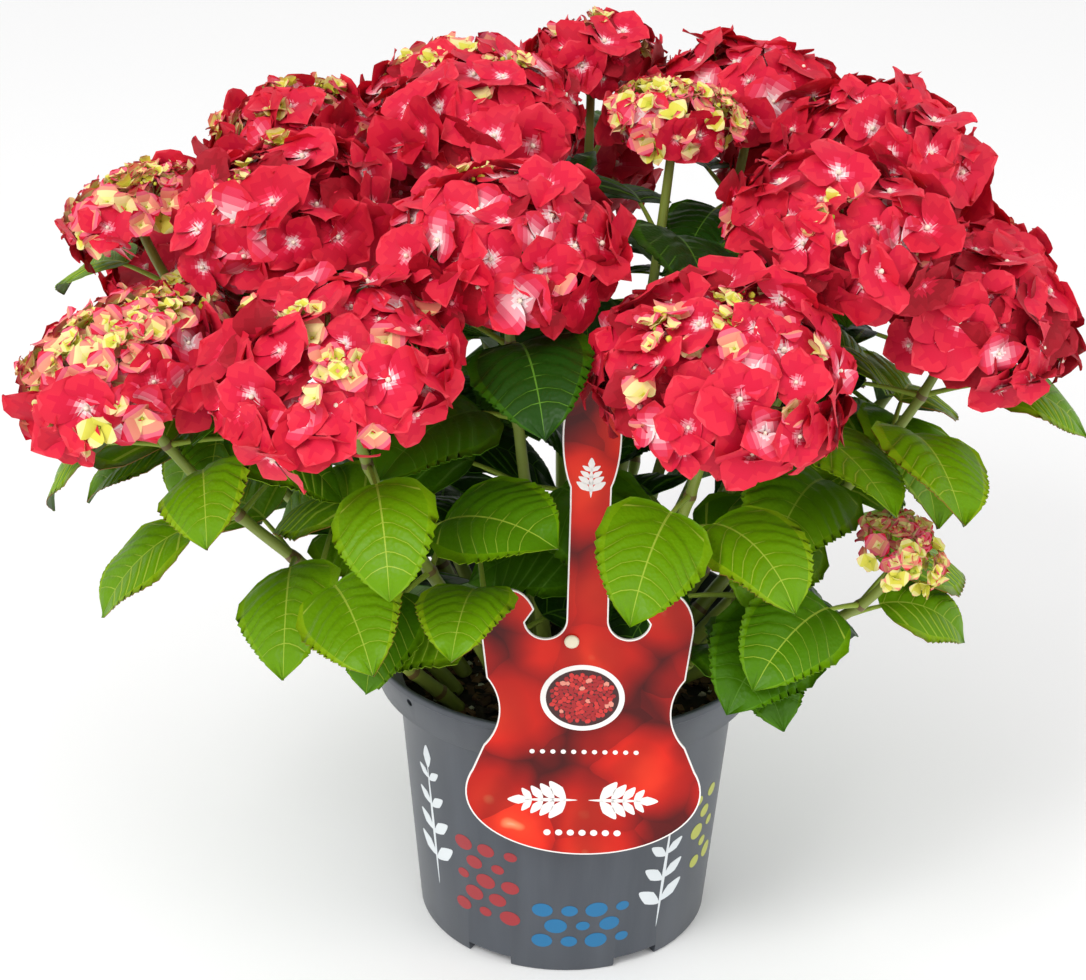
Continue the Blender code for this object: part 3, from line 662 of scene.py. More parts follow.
def start_grid(columns, rows):
    """A grid modelled as a primitive; its points come back numbered row by row."""
    select_only()
    bpy.ops.mesh.primitive_grid_add(x_subdivisions=columns, y_subdivisions=rows, size=2)
    sheet = bpy.context.object
    flat = np.array([vert.co[:] for vert in sheet.data.vertices])
    bpy.data.objects.remove(sheet, do_unlink=True)
    return flat[np.lexsort((flat[:, 0], flat[:, 1]))].reshape(rows + 1, columns + 1, 3)


def zone_rows(letters):
    """Zones of a sepal's quads: a word for each row of them, from the eye to the tip."""
    return np.array([ZONE_LETTERS.index(letter) for letter in letters.replace(" ", "")])


RAYED = zone_rows("eeeee ylely iylyi iiyii biiib bbibb mbbbm mmmmm")
BLUSHED = zone_rows("eeeee eeeee llell yllly iyyyi biiib bbbbb mmmmm")
EVEN = zone_rows("eeeee lllll lllll yyyyy yyyyy iiiii bbbbb mmmmm")
SMALL = zone_rows("ee ll ii mm")


def sepal(dice, cup, lines, columns):
    """Points of a sepal of length 1 along +X, cupped by an angle in radians."""
    flat = start_grid(len(columns) - 1, len(lines) - 1)
    along = np.interp(flat[..., 1], np.linspace(-1, 1, len(lines)), lines)
    across = np.interp(flat[..., 0], np.linspace(-1, 1, len(columns)), columns)
    width = dice.uniform(0.50, 0.66)
    outline = along**0.6 * (1.0 - along**1.9)**1.15 / SEPAL_WIDEST
    half = width * outline + 0.05 * (1 - along)
    wave = dice.uniform(0.03, 0.09) * np.sin(along * dice.uniform(5, 9) + dice.uniform(0, 6))
    droop = dice.uniform(0.05, 0.40)
    dish = dice.uniform(-0.30, 0.16)
    length = 0.04 + along * dice.uniform(0.92, 1.08)
    side = across * half
    crease = dice.uniform(0.02, 0.07) * np.abs(across)**0.7 * along
    lift = dish * side**2 / width + wave * np.abs(across)**2 + crease - droop * along**2.4
    rise = np.tan(cup) * along / (1 + np.tan(cup) * along * 0.6)
    skew = dice.uniform(-0.14, 0.14) * along**2
    roll = dice.uniform(0.08, 0.28)
    lean, stand = math.cos(roll), math.sin(roll)
    height = lift + rise
    return np.stack([length * math.cos(cup * 0.35), side * lean - lift * stand + skew,
                     height + side * stand], axis=2).reshape(-1, 3)


# %% Florets: open, half open and small
def bead(radius, height, segments=6, rings=3):
    """A small ball: a short tube that swells and thins again, closed at both ends."""
    line = [(0, 0, height + radius * math.cos(math.pi * t / rings)) for t in range(rings + 1)]
    girth = [max(0.08, math.sin(math.pi * t / rings)) * radius for t in range(rings + 1)]
    return tube(line[::-1], girth, segments)


def floret(seed, cup_low, cup_high, zones, lines=SEPAL_ALONG, columns=SEPAL_ACROSS):
    """Points, quads and zones of a floret whose sepals have length 1."""
    dice = random.Random(seed)
    heap = Heap()
    if zones is not SMALL:
        points, quads = bead(0.075, 0.065)
        heap.add(points, quads, ZONE_LETTERS.index("o"))
    for number in range(4):
        turn = Matrix.Rotation(math.radians(90 * number) + dice.uniform(-0.12, 0.12), 3, "Z")
        shape = sepal(dice, math.radians(dice.uniform(cup_low, cup_high)), lines, columns)
        size = dice.uniform(0.88, 1.08)
        shape = placed(shape, turn, (0, 0, 0.012 * (number % 2)), size)
        heap.add(shape, grid_quads(len(columns) - 1, len(lines) - 1)[:, ::-1], zones)
    return np.concatenate(heap.points), np.concatenate(heap.quads), np.concatenate(heap.slots)


open_florets = [floret(seed, 2, 30, RAYED) for seed in range(10)]
pale_florets = [floret(30 + seed, 6, 34, BLUSHED) for seed in range(6)]
half_florets = [floret(50 + seed, 38, 62, EVEN) for seed in range(5)]
small_florets = [floret(70 + seed, 40, 68, SMALL, SMALL_ALONG, SMALL_ACROSS)
                 for seed in range(5)]
print(len(open_florets[0][1]), "quads in a floret,", len(small_florets[0][1]), "in a small one")

# %% [markdown]
# ## Flower heads
#
# The golden angle spreads florets evenly over a dome, as it does seeds in a
# sunflower. Each lies a few millimetres deeper or shallower than the next and is
# tipped by the dice, so that they overlap like shingles, and a floret that would
# cross the wall to a neighbouring head is left out. In a young head some are still
# half open and smaller, cream in the middle and red at the tips.

# %% Colours dealt out to florets
def palette(names):
    """Finish numbers for the zones bead, eye, blush, ray, inner, body and rim."""
    return np.array([SEPAL_SLOT[name if name.startswith("bud") else "sepal_" + name]
                     for name in names.split()])


OPEN_PALETTES = (
    palette("bead_cream eye_white eye_pink ray_pink rose_inner rose_body rose_rim"),
    palette("bead_cream eye_pink eye_blush rose_inner rose_inner rose_body rose_rim"),
    palette("bead_cream eye_pink ray_pink rose_inner red_inner red_body red_rim"),
    palette("eye_pink ray_pink red_inner red_inner deep_inner deep_body deep_rim"),
)
PALE_EYED = palette("bead_cream eye_white eye_pink eye_blush ray_pink rose_body rose_rim")
YOUNG_PALETTES = (
    palette("bud_lime pale_lime cream peach eye_blush rose_inner red_body"),
    palette("bud_lime lime pale_lime cream peach eye_blush rose_body"),
    palette("bud_green bud_lime lime lime pale_lime cream peach"),
)
print(len(OPEN_PALETTES) + len(YOUNG_PALETTES) + 1, "palettes")

# %% Placing the florets
FLORET_LOWEST = math.radians(106)
FLORET_ROOM = 450 * MM**2       # outline area of a dome for each floret
FLORET_RADIUS = (18.5 * MM, 22.5 * MM)
HALF_OPEN, PALE, OPEN = (0.34, 0.56), (0.65, 0.95), (0.80, 1.08)    # sizes by youth
SHALLOW, NEST = 3.0 * MM, 11.0 * MM     # florets lie this deep in the dome, and deeper
FLORET_TIP = 0.42
FEWEST_FLORETS = 16
YOUNG_CROWD = 1.7               # how many times more florets the youngest heads have
WALL_ROOM = 0.20                # a floret's middle keeps this share of its radius off a wall
BLOOM_PIECES = 4                # the heads are shared out among this many pieces


def deal_floret(dome, polar, depth, dice):
    """Shape, palette and size for a floret at one place and depth (0 to 1) of a dome."""
    inwards = 1.0 - polar / FLORET_LOWEST
    if dome.young == 1.0 or dice.random() < dome.young * (0.35 + 1.45 * inwards):
        number = dice.choices(range(3), (6, 3, 0.5 + 5 * dome.young**6))[0]
        size = dice.uniform(*HALF_OPEN)
        return dice.choice(half_florets), YOUNG_PALETTES[number], size
    if dice.random() < 0.08 + 0.40 * dome.young:
        return dice.choice(pale_florets), PALE_EYED, dice.uniform(*PALE)
    # Florets deep in the dome or low on its side are dealt the darker reds more often: painted
    # shade.
    painted_shade = depth > 0.55 or polar > math.radians(82)
    number = dice.choices(range(4), (2, 3, 4, 4) if painted_shade else (7, 4, 2.4, 0.6))[0]
    return dice.choice(open_florets), OPEN_PALETTES[number], dice.uniform(*OPEN)


def fill_dome(dome, heap, seed):
    """Florets over one dome; returns where their stalks should end."""
    dice = random.Random(seed)
    area = 4 * math.pi * dome.half**2 * (0.35 + 0.65 * dome.flat) * 0.62
    count = max(FEWEST_FLORETS, round(area * (1.0 + YOUNG_CROWD * dome.young) / FLORET_ROOM))
    lowest = 1.0 - math.cos(FLORET_LOWEST)
    turn_by = dice.uniform(0, math.tau)
    small = min(1.0, (dome.half / 0.055)**0.5)
    ends = []
    for number in range(count):
        polar = math.acos(1.0 - (number + 0.5) / count * lowest)
        around = number * GOLDEN_ANGLE + turn_by + dice.uniform(-0.12, 0.12)
        depth = dice.random()**1.5
        centre, normal = dome.spot(SHALLOW + NEST * depth, polar, around)
        (points, quads, zones), colours, size = deal_floret(dome, polar, depth, dice)
        tip = Vector([dice.uniform(-FLORET_TIP, FLORET_TIP) for _ in range(3)])
        spin, radius = dice.uniform(0, math.tau), dice.uniform(*FLORET_RADIUS) * small * size
        if dome.past_wall(centre) > -WALL_ROOM * radius:
            continue
        way = (normal + tip).normalized()
        heap.add(placed(points, basis(way, spin), centre, radius), quads, colours[zones])
        ends.append(centre - way * 0.5 * MM)
    return ends


bloom_heaps = [Heap() for _ in range(BLOOM_PIECES)]
stalk_ends = [fill_dome(dome, bloom_heaps[number % BLOOM_PIECES], 900 + number)
              for number, dome in enumerate(domes)]
print(sum(len(ends) for ends in stalk_ends), "florets")

# %% [markdown]
# ## Buds and stalks
#
# Under the florets a head is a small tree: the cane ends in a handful of rays, each
# ray in many thin stalks. Only glimpses show, from below and between the sepals.
# Where a head is youngest, small cupped florets and lime buds sit in clusters.

# %% Stalks inside the heads
RAYS = 6
RAY_RADIUS = (1.5 * MM, 1.0 * MM)
STALK_RADIUS = (0.7 * MM, 0.5 * MM)


def branch(dome, top, ends, heap, seed):
    """Rays from the cane's top, and a stalk from the nearest ray to each floret."""
    dice = random.Random(seed)
    joints = []
    for number in range(RAYS):
        polar = math.radians(dice.uniform(25, 70)) if number else 0.0
        outer, _ = dome.spot(0.0, polar, number * math.tau / (RAYS - 1))
        joint = top.lerp(outer, dice.uniform(0.38, 0.5))
        points, quads = tube(curve((top - dome.axis * 2 * MM, top, joint, joint), 5),
                             np.linspace(*RAY_RADIUS, 5), 6)
        heap.add(points, quads, STEM_SLOT["stalk_olive"])
        joints.append(joint)
    for end in ends:
        joint = min(joints, key=lambda place: (place - end).length)
        bend = joint.lerp(end, 0.5) + dome.axis * 2 * MM
        points, quads = tube(curve((joint, bend, bend, end), 4), np.linspace(*STALK_RADIUS, 4), 4)
        slot = "stalk_pink" if dice.random() < 0.4 else "stalk_olive"
        heap.add(points, quads, STEM_SLOT[slot])


stems = Heap()
for number, (dome, cane, ends) in enumerate(zip(domes, canes, stalk_ends)):
    branch(dome, cane.knots[3], ends, stems, 1100 + number)

# %% Clusters of small florets and buds
BUD_RADIUS = (1.0 * MM, 1.9 * MM)
BUD_SHARE = 0.3
SMALL_RADIUS = (4.0 * MM, 7.5 * MM)
CLUSTERS = 14                   # in the youngest head, with this many florets in each:
CLUSTER_SIZE = (6, 11)
CLUSTER_SPREAD = 5.5 * MM


def add_buds(dome, heap, seed):
    """Clusters near the top of a young head: small cupped florets, with a few buds."""
    dice = random.Random(seed)
    for _ in range(round(dome.young * CLUSTERS)):
        polar, around = math.radians(dice.uniform(5, 62)), dice.uniform(0, math.tau)
        for _ in range(dice.randint(*CLUSTER_SIZE)):
            girth = dome.half * math.sin(polar) + 4 * MM
            here = polar + dice.gauss(0, CLUSTER_SPREAD) / dome.half
            turn = around + dice.gauss(0, CLUSTER_SPREAD) / girth
            centre, normal = dome.spot(dice.uniform(-1, 4) * MM, abs(here), turn)
            if dome.past_wall(centre) > 0:
                continue
            if dice.random() < BUD_SHARE:
                points, quads = bead(dice.uniform(*BUD_RADIUS), 0.0)
                slots = SEPAL_SLOT[dice.choice(("bud_lime", "sepal_lime", "bud_green"))]
                heap.add(placed(points, basis(normal), centre), quads, slots)
                continue
            points, quads, zones = dice.choice(small_florets)
            tip = Vector([dice.uniform(-0.5, 0.5) for _ in range(3)])
            turned = basis((normal + tip).normalized(), dice.uniform(0, math.tau))
            colours = dice.choices(YOUNG_PALETTES, (3, 4, 4))[0]
            heap.add(placed(points, turned, centre, dice.uniform(*SMALL_RADIUS)), quads,
                     colours[zones])


for number, dome in enumerate(domes):
    add_buds(dome, bloom_heaps[number % BLOOM_PIECES], 1300 + number)

# %% [markdown]
# ## Keeping leaves off the label
#
# The card's outline and place are needed before the leaves are, because some hang
# close behind it or in front. Where a finished leaf, which is a little fuller than
# the plain one, would cut the card, both its skins are moved clear of it by as much.

# %% The label's outline and place
RIM_RADIUS = 0.1148
POT_HEIGHT = 0.1780
LABEL_LEAN = math.radians(4)
LABEL_CENTRE_X = 9.0 * MM
LABEL_THICK = 1.2 * MM
LABEL_BORDER = 0.8 * MM
PEG_ACROSS, PEG_UP = -8.0 * MM, 59.0 * MM
PEG_RADIUS, PEG_HEAD_RADIUS = 2.2 * MM, 4.0 * MM
STAKE_FOOT_Y = -0.0840


def label_frame():
    """Label plane: X across, Y up from the rim's edge, Z outwards."""
    contact = Vector((LABEL_CENTRE_X, -RIM_RADIUS - GAP, POT_HEIGHT))
    lean = Matrix.Rotation(math.radians(90) + LABEL_LEAN, 4, "X")
    return Matrix.Translation(contact) @ lean


def label_half_outline():
    """Right half of the label, across and up from the rim's height, in mm."""
    points = []

    def arc(centre, radii, start, end, steps):
        for step in range(steps + 1):
            turn = math.radians(start + (end - start) * step / steps)
            points.append((centre[0] + radii[0] * math.cos(turn),
                           centre[1] + radii[1] * math.sin(turn)))

    arc((0, -39), (64, 42), -90, 20, 24)      # round lower body
    arc((78, 14), (32, 34), 222, 142, 16)     # waist
    arc((41, 66), (15, 24), 0, 150, 20)       # shoulder
    arc((22, 72), (11, 12), -10, -180, 20)    # notch beside the neck
    points.append((10.5, 140))                # neck
    arc((0, 181), (15, 41), -45, 90, 24)      # rounded head
    return points


half = label_half_outline()
ring = half + [(-across, up) for across, up in reversed(half[1:-1])]
LABEL_CLEAR = 0.7 * MM
LABEL_NEAR = 15.0 * MM          # only points this close to the card are moved
LABEL_MARGIN = 1.03             # the outline counts as this much wider and taller


def in_outline(across, up):
    """True for each point of a plan in mm that lies in the label's outline."""
    inside = np.zeros(len(across), dtype=bool)
    for (x1, y1), (x2, y2) in zip(ring, ring[1:] + ring[:1]):
        if y1 != y2:
            crosses = (up < y1) != (up < y2)
            inside ^= crosses & (across < x1 + (up - y1) * (x2 - x1) / (y2 - y1))
    return inside


def clear_of_label(points):
    """Move a leaf that would cut the card clear of it."""
    turn = np.array(label_frame())
    local = (points - turn[:3, 3]) @ turn[:3, :3]
    over = in_outline(local[:, 0] / MM / LABEL_MARGIN, local[:, 1] / MM / LABEL_MARGIN)
    over &= np.abs(local[:, 2]) < LABEL_NEAR
    if not over.any():
        return points
    if np.median(local[over, 2]) > LABEL_THICK / 2:
        move = np.where(over, LABEL_THICK + LABEL_CLEAR - local[:, 2], 0.0).clip(min=0)
    else:
        move = np.where(over, -LABEL_CLEAR - local[:, 2], 0.0).clip(max=0)
    top, under = move.reshape(2, -1)
    local[:, 2] += np.tile(np.where(np.abs(top) > np.abs(under), top, under), 2)
    return local @ turn[:3, :3].T + turn[:3, 3]


print(len(ring), "points in the label's outline")

# %% [markdown]
# ## One leaf
#
# The leaf is a grid whose rows follow the side veins: they leave the midrib and
# sweep forward to the toothed edge. A narrow row and a narrow middle column are the
# veins, and get their own finish. Between veins the blade bulges up, which is what
# makes a hydrangea leaf look quilted. The underside is a second skin below it, and a
# strip of quads closes the edge.

# %% The leaf's grid
VEINS = 7
FIRST_VEIN, VEIN_STRETCH = 0.035, 0.88      # shares of the midrib
VEIN_WIDTH = 0.008
VEIN_LEAD = 0.66                # how far side veins sweep forward
LEAF_WIDTH = 0.76
BASE_ROUND = 0.10               # the base's rounded corners lie this far along
LEAF_WIDEST = 0.435             # largest value of the outline's formula
LEAF_ACROSS = (-1.0, -0.84, -0.50, -0.20, 0.0, 0.0, 0.20, 0.50, 0.84, 1.0)
SAME_DIAGONAL = (0, 3, 2, 1)    # turns a quad over and still splits it the same way
TOOTH, DENT = 0.013, -0.005     # how far the edge stands out and in, by turns
QUILT, WAVE, SKIN = 0.012, 0.020, 0.006     # bulge between veins, wave, thickness
BLADE, PAINTED_HIGHLIGHT, VEIN, EDGE, UNDER, UNDER_VEIN = range(6)


def leaf_rows():
    """Shares along the midrib: for each vein its two sides and two lines between."""
    rows = [0.0]
    gap = VEIN_STRETCH / VEINS
    for number in range(VEINS):
        start = FIRST_VEIN + number * gap * (1.06 - 0.02 * number)
        rows += [start, start + VEIN_WIDTH, start + 0.40 * gap, start + 0.72 * gap]
    return np.array(rows + [1.0])


def leaf_profile(along):
    """Half the width of a leaf of length 1, widest at a third."""
    return along**0.45 * (1.0 - along)**0.80 / LEAF_WIDEST * LEAF_WIDTH / 2


def leaf_shape(seed):
    """Along, across and up for a flat leaf of length 1, with quads and zones."""
    dice = random.Random(seed)
    lines = leaf_rows()
    columns, rows = len(LEAF_ACROSS) - 1, len(lines) - 1
    flat = start_grid(columns, rows)
    row = np.rint((flat[..., 1] + 1) / 2 * rows).astype(int)
    column = np.rint((flat[..., 0] + 1) / 2 * columns).astype(int)
    across = np.array(LEAF_ACROSS)[column]
    start = lines[row]
    lead = VEIN_LEAD * (1 - start) * start / (start + 0.10) + 0.02
    along = start + lead * np.abs(across)**1.35 * (1 - start)**0.4
    along[0] = BASE_ROUND * np.abs(across[0])**2.2
    half = leaf_profile(np.clip(along, 0.0, 1.0))
    tooth = np.where(row % 2 == 0, TOOTH, DENT) * (np.abs(across) > 0.99)
    tooth[(row < 2) | (row > rows - 2)] = 0.0
    side = across * half + np.sign(across) * tooth
    side[0] = np.sign(across[0]) * half[0]
    rib = 0.002 + 0.007 * (1 - along)
    side[:, columns // 2] -= rib[:, columns // 2]
    side[:, columns // 2 + 1] += rib[:, columns // 2 + 1]
    between = np.sin(np.clip((row - 1) % 4, 0, 3) / 3.0 * math.pi * 0.9)
    quilt = QUILT * between * np.sin(np.abs(across)**0.8 * math.pi) * (half / 0.38)
    quilt[(row < 2) | (row > rows - 2)] = 0.0
    fold = dice.uniform(0.08, 0.24) * np.abs(side) - dice.uniform(0.25, 0.7) * side**2
    wave = WAVE * np.sin(along * dice.uniform(8, 12) + dice.uniform(0, 6)) * np.abs(across)**2
    up = quilt + fold + wave - 0.006 * (np.abs(across) < 0.03)
    top = np.stack([along, side, up], axis=2).reshape(-1, 3)
    zones = np.full((rows, columns), BLADE)
    # The outer strip at each margin takes a lighter green: a painted highlight.
    zones[:, (0, columns - 1)] = PAINTED_HIGHLIGHT
    zones[1::4, 1:columns - 1] = VEIN
    zones[:, columns // 2] = VEIN
    under = np.where(zones == VEIN, UNDER_VEIN, UNDER)
    count, quads = len(top), grid_quads(columns, rows)
    number = np.arange(count).reshape(rows + 1, columns + 1)
    loop = np.concatenate([number[0, :-1], number[:-1, -1], number[-1, :0:-1], number[:0:-1, 0]])
    after = np.roll(loop, -1)
    rim = np.stack([loop, after, after + count, loop + count], axis=1)[:, ::-1]
    points = np.concatenate([top, top - (0, 0, SKIN)])
    slots = np.concatenate([zones.ravel(), under.ravel(), np.full(len(rim), EDGE)])
    return points, np.concatenate([quads[:, SAME_DIAGONAL], quads + count, rim]), slots


leaf_shapes = [leaf_shape(seed) for seed in range(6)]
print(len(leaf_shapes[0][1]), "quads in a leaf")

# %% [markdown]
# ## Bending a leaf to its place
#
# The flat leaf is laid along a midrib that leaves the stalk rising and droops more
# and more towards its tip. Each point goes to the midrib's place at its own share
# of the length, plus its sideways and upward parts in the midrib's own directions.

# %% The bent leaf and its stalk
MIDRIB_STEPS = 24
PETIOLE_STEPS, PETIOLE_SIDES = 9, 8
PETIOLE_SHARES, PETIOLE_RADII = (0, 0.15, 0.7, 1), (2.3, 1.6, 1.2, 0.5)     # radii in mm


def midrib(leaf):
    """Points and slopes along the blade, from the end of its stalk to its tip."""
    foot = leaf.root + heading(leaf.way) * ROOT_FULL
    points, slopes = [foot + heading(leaf.way, leaf.rise) * PETIOLE], []
    for step in range(MIDRIB_STEPS + 1):
        slope = leaf.rise - leaf.droop * (0.16 + 0.98 * (step / MIDRIB_STEPS)**0.9)
        slopes.append(slope)
        points.append(points[-1] + heading(leaf.way, slope) * leaf.length / MIDRIB_STEPS)
    return np.array(points[:-1]), np.array(slopes)


def bend_leaf(points, leaf, roll):
    """Points of a flat leaf, laid along its midrib and rolled about it."""
    line, slopes = midrib(leaf)
    shares = np.linspace(0, 1, MIDRIB_STEPS + 1)
    along = np.clip(points[:, 0], 0, 1)
    place = np.stack([np.interp(along, shares, line[:, axis]) for axis in range(3)], axis=1)
    slope = np.interp(along, shares, slopes)
    ahead = np.array([math.cos(leaf.way), math.sin(leaf.way), 0.0])
    side = np.array([-math.sin(leaf.way), math.cos(leaf.way), 0.0])
    up = -np.sin(slope)[:, None] * ahead + np.cos(slope)[:, None] * np.array([0, 0, 1.0])
    twist = roll * (0.7 + 0.3 * along)
    across, lift = points[:, 1] * leaf.length, points[:, 2] * leaf.length
    over = across * np.cos(twist) - lift * np.sin(twist)
    rise = across * np.sin(twist) + lift * np.cos(twist)
    return place + over[:, None] * side + rise[:, None] * up


def petiole(leaf):
    """The stalk, from the cane's middle to a little way under the blade."""
    line = midrib(leaf)[0]
    start, end, under = Vector(leaf.root), Vector(line[0]), Vector(line[5])
    under.z -= 1.0 * MM
    points = curve((start, start.lerp(end, 0.4), end, under), PETIOLE_STEPS)
    shares = np.linspace(0, 1, PETIOLE_STEPS)
    return tube(points, np.interp(shares, PETIOLE_SHARES, PETIOLE_RADII) * MM, PETIOLE_SIDES)


def leaf_palette(names):
    """Finish numbers for blade, painted highlight at the margins, vein, edge, underside and its
    veins.
    """
    return np.array([LEAF_SLOT["leaf_" + name] for name in names.split() + ["under", "under_vein"]])


# From darkest to brightest: the dark greens are painted shade, the bright ones painted light.
LEAF_PALETTES = (
    leaf_palette("deep deep_light vein_dull deep_light"),
    leaf_palette("green green_light vein_dull green_light"),
    leaf_palette("green_light bright vein lime"),
    leaf_palette("bright bright_light vein lime"),
    leaf_palette("bright lime vein edge_brown"),
)


def add_leaf(leaf, heap, stalks, dice):
    """One leaf with its stalk, with painted light and shade: leaves far out get brighter greens,
    those inside or high under the heads darker ones.
    """
    points, quads, zones = dice.choice(leaf_shapes)
    tip = leaf.tip()
    # How much painted light a leaf gets: more the farther out its tip reaches, less the farther its
    # tip lies above or below 26 cm.
    light = (math.hypot(tip.x, tip.y) - 0.09) / 0.04 + 1.9 - abs(tip.z - 0.26) / 0.03
    number = min(4, max(0, int(light + dice.uniform(-0.8, 0.8))))
    outer_side = leaf.way - math.atan2(leaf.root.y, leaf.root.x)
    roll = LEAF_ROLL * math.sin(outer_side) + dice.uniform(-0.10, 0.10)
    heap.add(clear_of_label(bend_leaf(points, leaf, roll)), quads, LEAF_PALETTES[number][zones])
    points, quads = petiole(leaf)
    stalks.add(points, quads, LEAF_SLOT["petiole_green"])


leaves, low_leaves = Heap(), Heap()
for number, cane in enumerate(canes):
    heap = leaves if number < len(HEADS) else low_leaves
    dice = random.Random(1500 + number)
    for leaf in cane.leaves:
        add_leaf(leaf, heap, heap, dice)
print(sum(len(cane.leaves) for cane in canes), "leaves and their stalks")

# %% [markdown]
# ## Canes
#
# A cane is round, a little ridged, and swollen where a pair of leaves sits or sat,
# with a brown ring there. It thins evenly from the mix to the head. The bough below
# and the twig above are made the same way and meet without a step.

# %% Stems with their joints
CANE_FOOT_RADIUS = 0.0046
CANE_TIP_RADIUS = 0.0034
TWIG_TIP_RADIUS = 0.0026
RING_STEP = 3.0 * MM
JOINT_SWELL = 0.8 * MM
JOINT_SPREAD = 3.2 * MM
OLD_JOINTS = (0.14, 0.31)       # shares of a cane at which leaves once sat
STEM_SIDES, STEM_RIDGES = 12, 0.025


def stem(cane, start, end, first, last, heap):
    """A stretch of a cane, with swellings at its joints and brown rings on them."""
    rough = curve(cane.knots, 12)
    length = sum((b - a).length for a, b in zip(rough, rough[1:])) * (end - start)
    count = max(8, round(length / RING_STEP))
    shares = np.linspace(start, end, count)
    line = [bezier(cane.knots, share) for share in shares]
    joints = list(cane.roots) + [bezier(cane.knots, share) for share in OLD_JOINTS]
    near = np.array([min((place - joint).length for joint in joints) for place in line])
    radii = np.linspace(first, last, count) + JOINT_SWELL * np.exp(-(near / JOINT_SPREAD)**2)
    points, quads = tube(line, radii, STEM_SIDES, STEM_RIDGES)
    ring_of = quads[:, 0] // STEM_SIDES
    brown = near[np.clip(ring_of, 0, count - 1)] < 0.6 * RING_STEP
    heap.add(points, quads, np.where(brown, STEM_SLOT["stem_node_brown"], STEM_SLOT["stem_green"]))


boughs = Heap()
for cane in canes:
    stem(cane, 0.0, BOUGH_SHARE, CANE_FOOT_RADIUS, CANE_TIP_RADIUS, boughs)
    stem(cane, BOUGH_SHARE, 1.0, CANE_TIP_RADIUS, TWIG_TIP_RADIUS, stems)
print(sum(len(quads) for quads in boughs.quads) * 2, "triangles in the boughs")

# %% The plant's pieces
heads = [f"head_{cane.name}" for cane in canes]


def hand_over(piece, slot, *nodes):
    """The piece rides on the part and stands for its nodes, whose solids it hides. The slot is not
    used.
    """
    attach(piece, "root")
    if nodes:
        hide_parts(*nodes)
    return piece


for number, heap in enumerate(bloom_heaps):
    bloom = heap.piece(f"florets_{number + 1}", sepal_finishes)
    hand_over(bloom, "flower_head", *(heads[number:len(HEADS):BLOOM_PIECES]))
hand_over(leaves.piece("leaves", leaf_finishes), "leaves")
hand_over(low_leaves.piece("low_leaves", leaf_finishes), "leaves", *heads[len(HEADS):])
hand_over(stems.piece("twigs", stem_finishes), "cane_bark")
hand_over(boughs.piece("boughs", stem_finishes), "cane_bark",
          *[f"cane_{cane.name}" for cane in canes])

# %% [markdown]
# ## The pot
#
# A nursery pot is blown or moulded in one thin wall: a tapering body, a wider collar
# that lets pots hang inside one another, a rounded lip, and notches in the foot that
# let water out. It starts as a disc, which is extruded and resized ring by ring up
# the outside, over the lip and down the inside, so that it is one closed solid.

# %% Sizes of the pot
COLLAR_RADIUS, COLLAR_BOTTOM = 0.1092, 0.1531
BODY_TOP_RADIUS, FOOT_RADIUS = 0.0975, 0.0843
WALL = 2.0 * MM
LIP = 1.2 * MM                  # the lip is this much thicker than the wall
LIP_STEPS = 8
POT_FLOOR = 8.0 * MM
NOTCHES, NOTCH_WIDTH, NOTCH_HEIGHT = 6, 28 * MM, 6.2 * MM
NOTCH_RADIUS, NOTCH_DEPTH = FOOT_RADIUS - 2.5 * MM, 13 * MM
POT_SIDES = 144
COLLAR_HOLE, HOLE_RADIUS = Vector((-0.0855, -0.0700, 0.1690)), 2.2 * MM


def wall_radius(height):
    """Outer radius of the pot's tapering body."""
    return FOOT_RADIUS + (BODY_TOP_RADIUS - FOOT_RADIUS) * height / COLLAR_BOTTOM


def start_edit():
    """Open edit mode with all of the shape selected."""
    bpy.ops.object.mode_set(mode="EDIT")
    bpy.ops.mesh.select_all(action="SELECT")


def end_edit():
    """Turn the faces of the closed shape outwards and leave edit mode."""
    bpy.ops.mesh.select_all(action="SELECT")
    bpy.ops.mesh.normals_make_consistent(inside=False)
    bpy.ops.object.mode_set(mode="OBJECT")


def turned_solid(name, outline, sides):
    """A closed round solid: a disc extruded and resized through (radius, height) steps."""
    select_only()
    radius, height = outline[0]
    bpy.ops.mesh.primitive_circle_add(vertices=sides, radius=radius, fill_type="NGON",
                                      location=(0, 0, height))
    made = bpy.context.object
    made.name = name
    bpy.ops.object.transform_apply(location=True, rotation=False, scale=False)
    start_edit()
    for wide, high in outline[1:]:
        bpy.ops.mesh.extrude_region_move(TRANSFORM_OT_translate={"value": (0, 0, high - height)})
        bpy.ops.transform.resize(value=(wide / radius, wide / radius, 1.0),
                                 center_override=(0, 0, high))
        radius, height = wide, high
    end_edit()
    return made


def cut_away(piece, cutter):
    """Take the shape of another object, which goes, out of a piece."""
    select_only(piece)
    bpy.ops.object.modifier_add(type="BOOLEAN")
    cut = piece.modifiers[-1]
    cut.operation = "DIFFERENCE"
    cut.object = cutter
    cut.solver = "EXACT"
    bpy.ops.object.modifier_apply(modifier=cut.name)
    bpy.data.objects.remove(cutter, do_unlink=True)


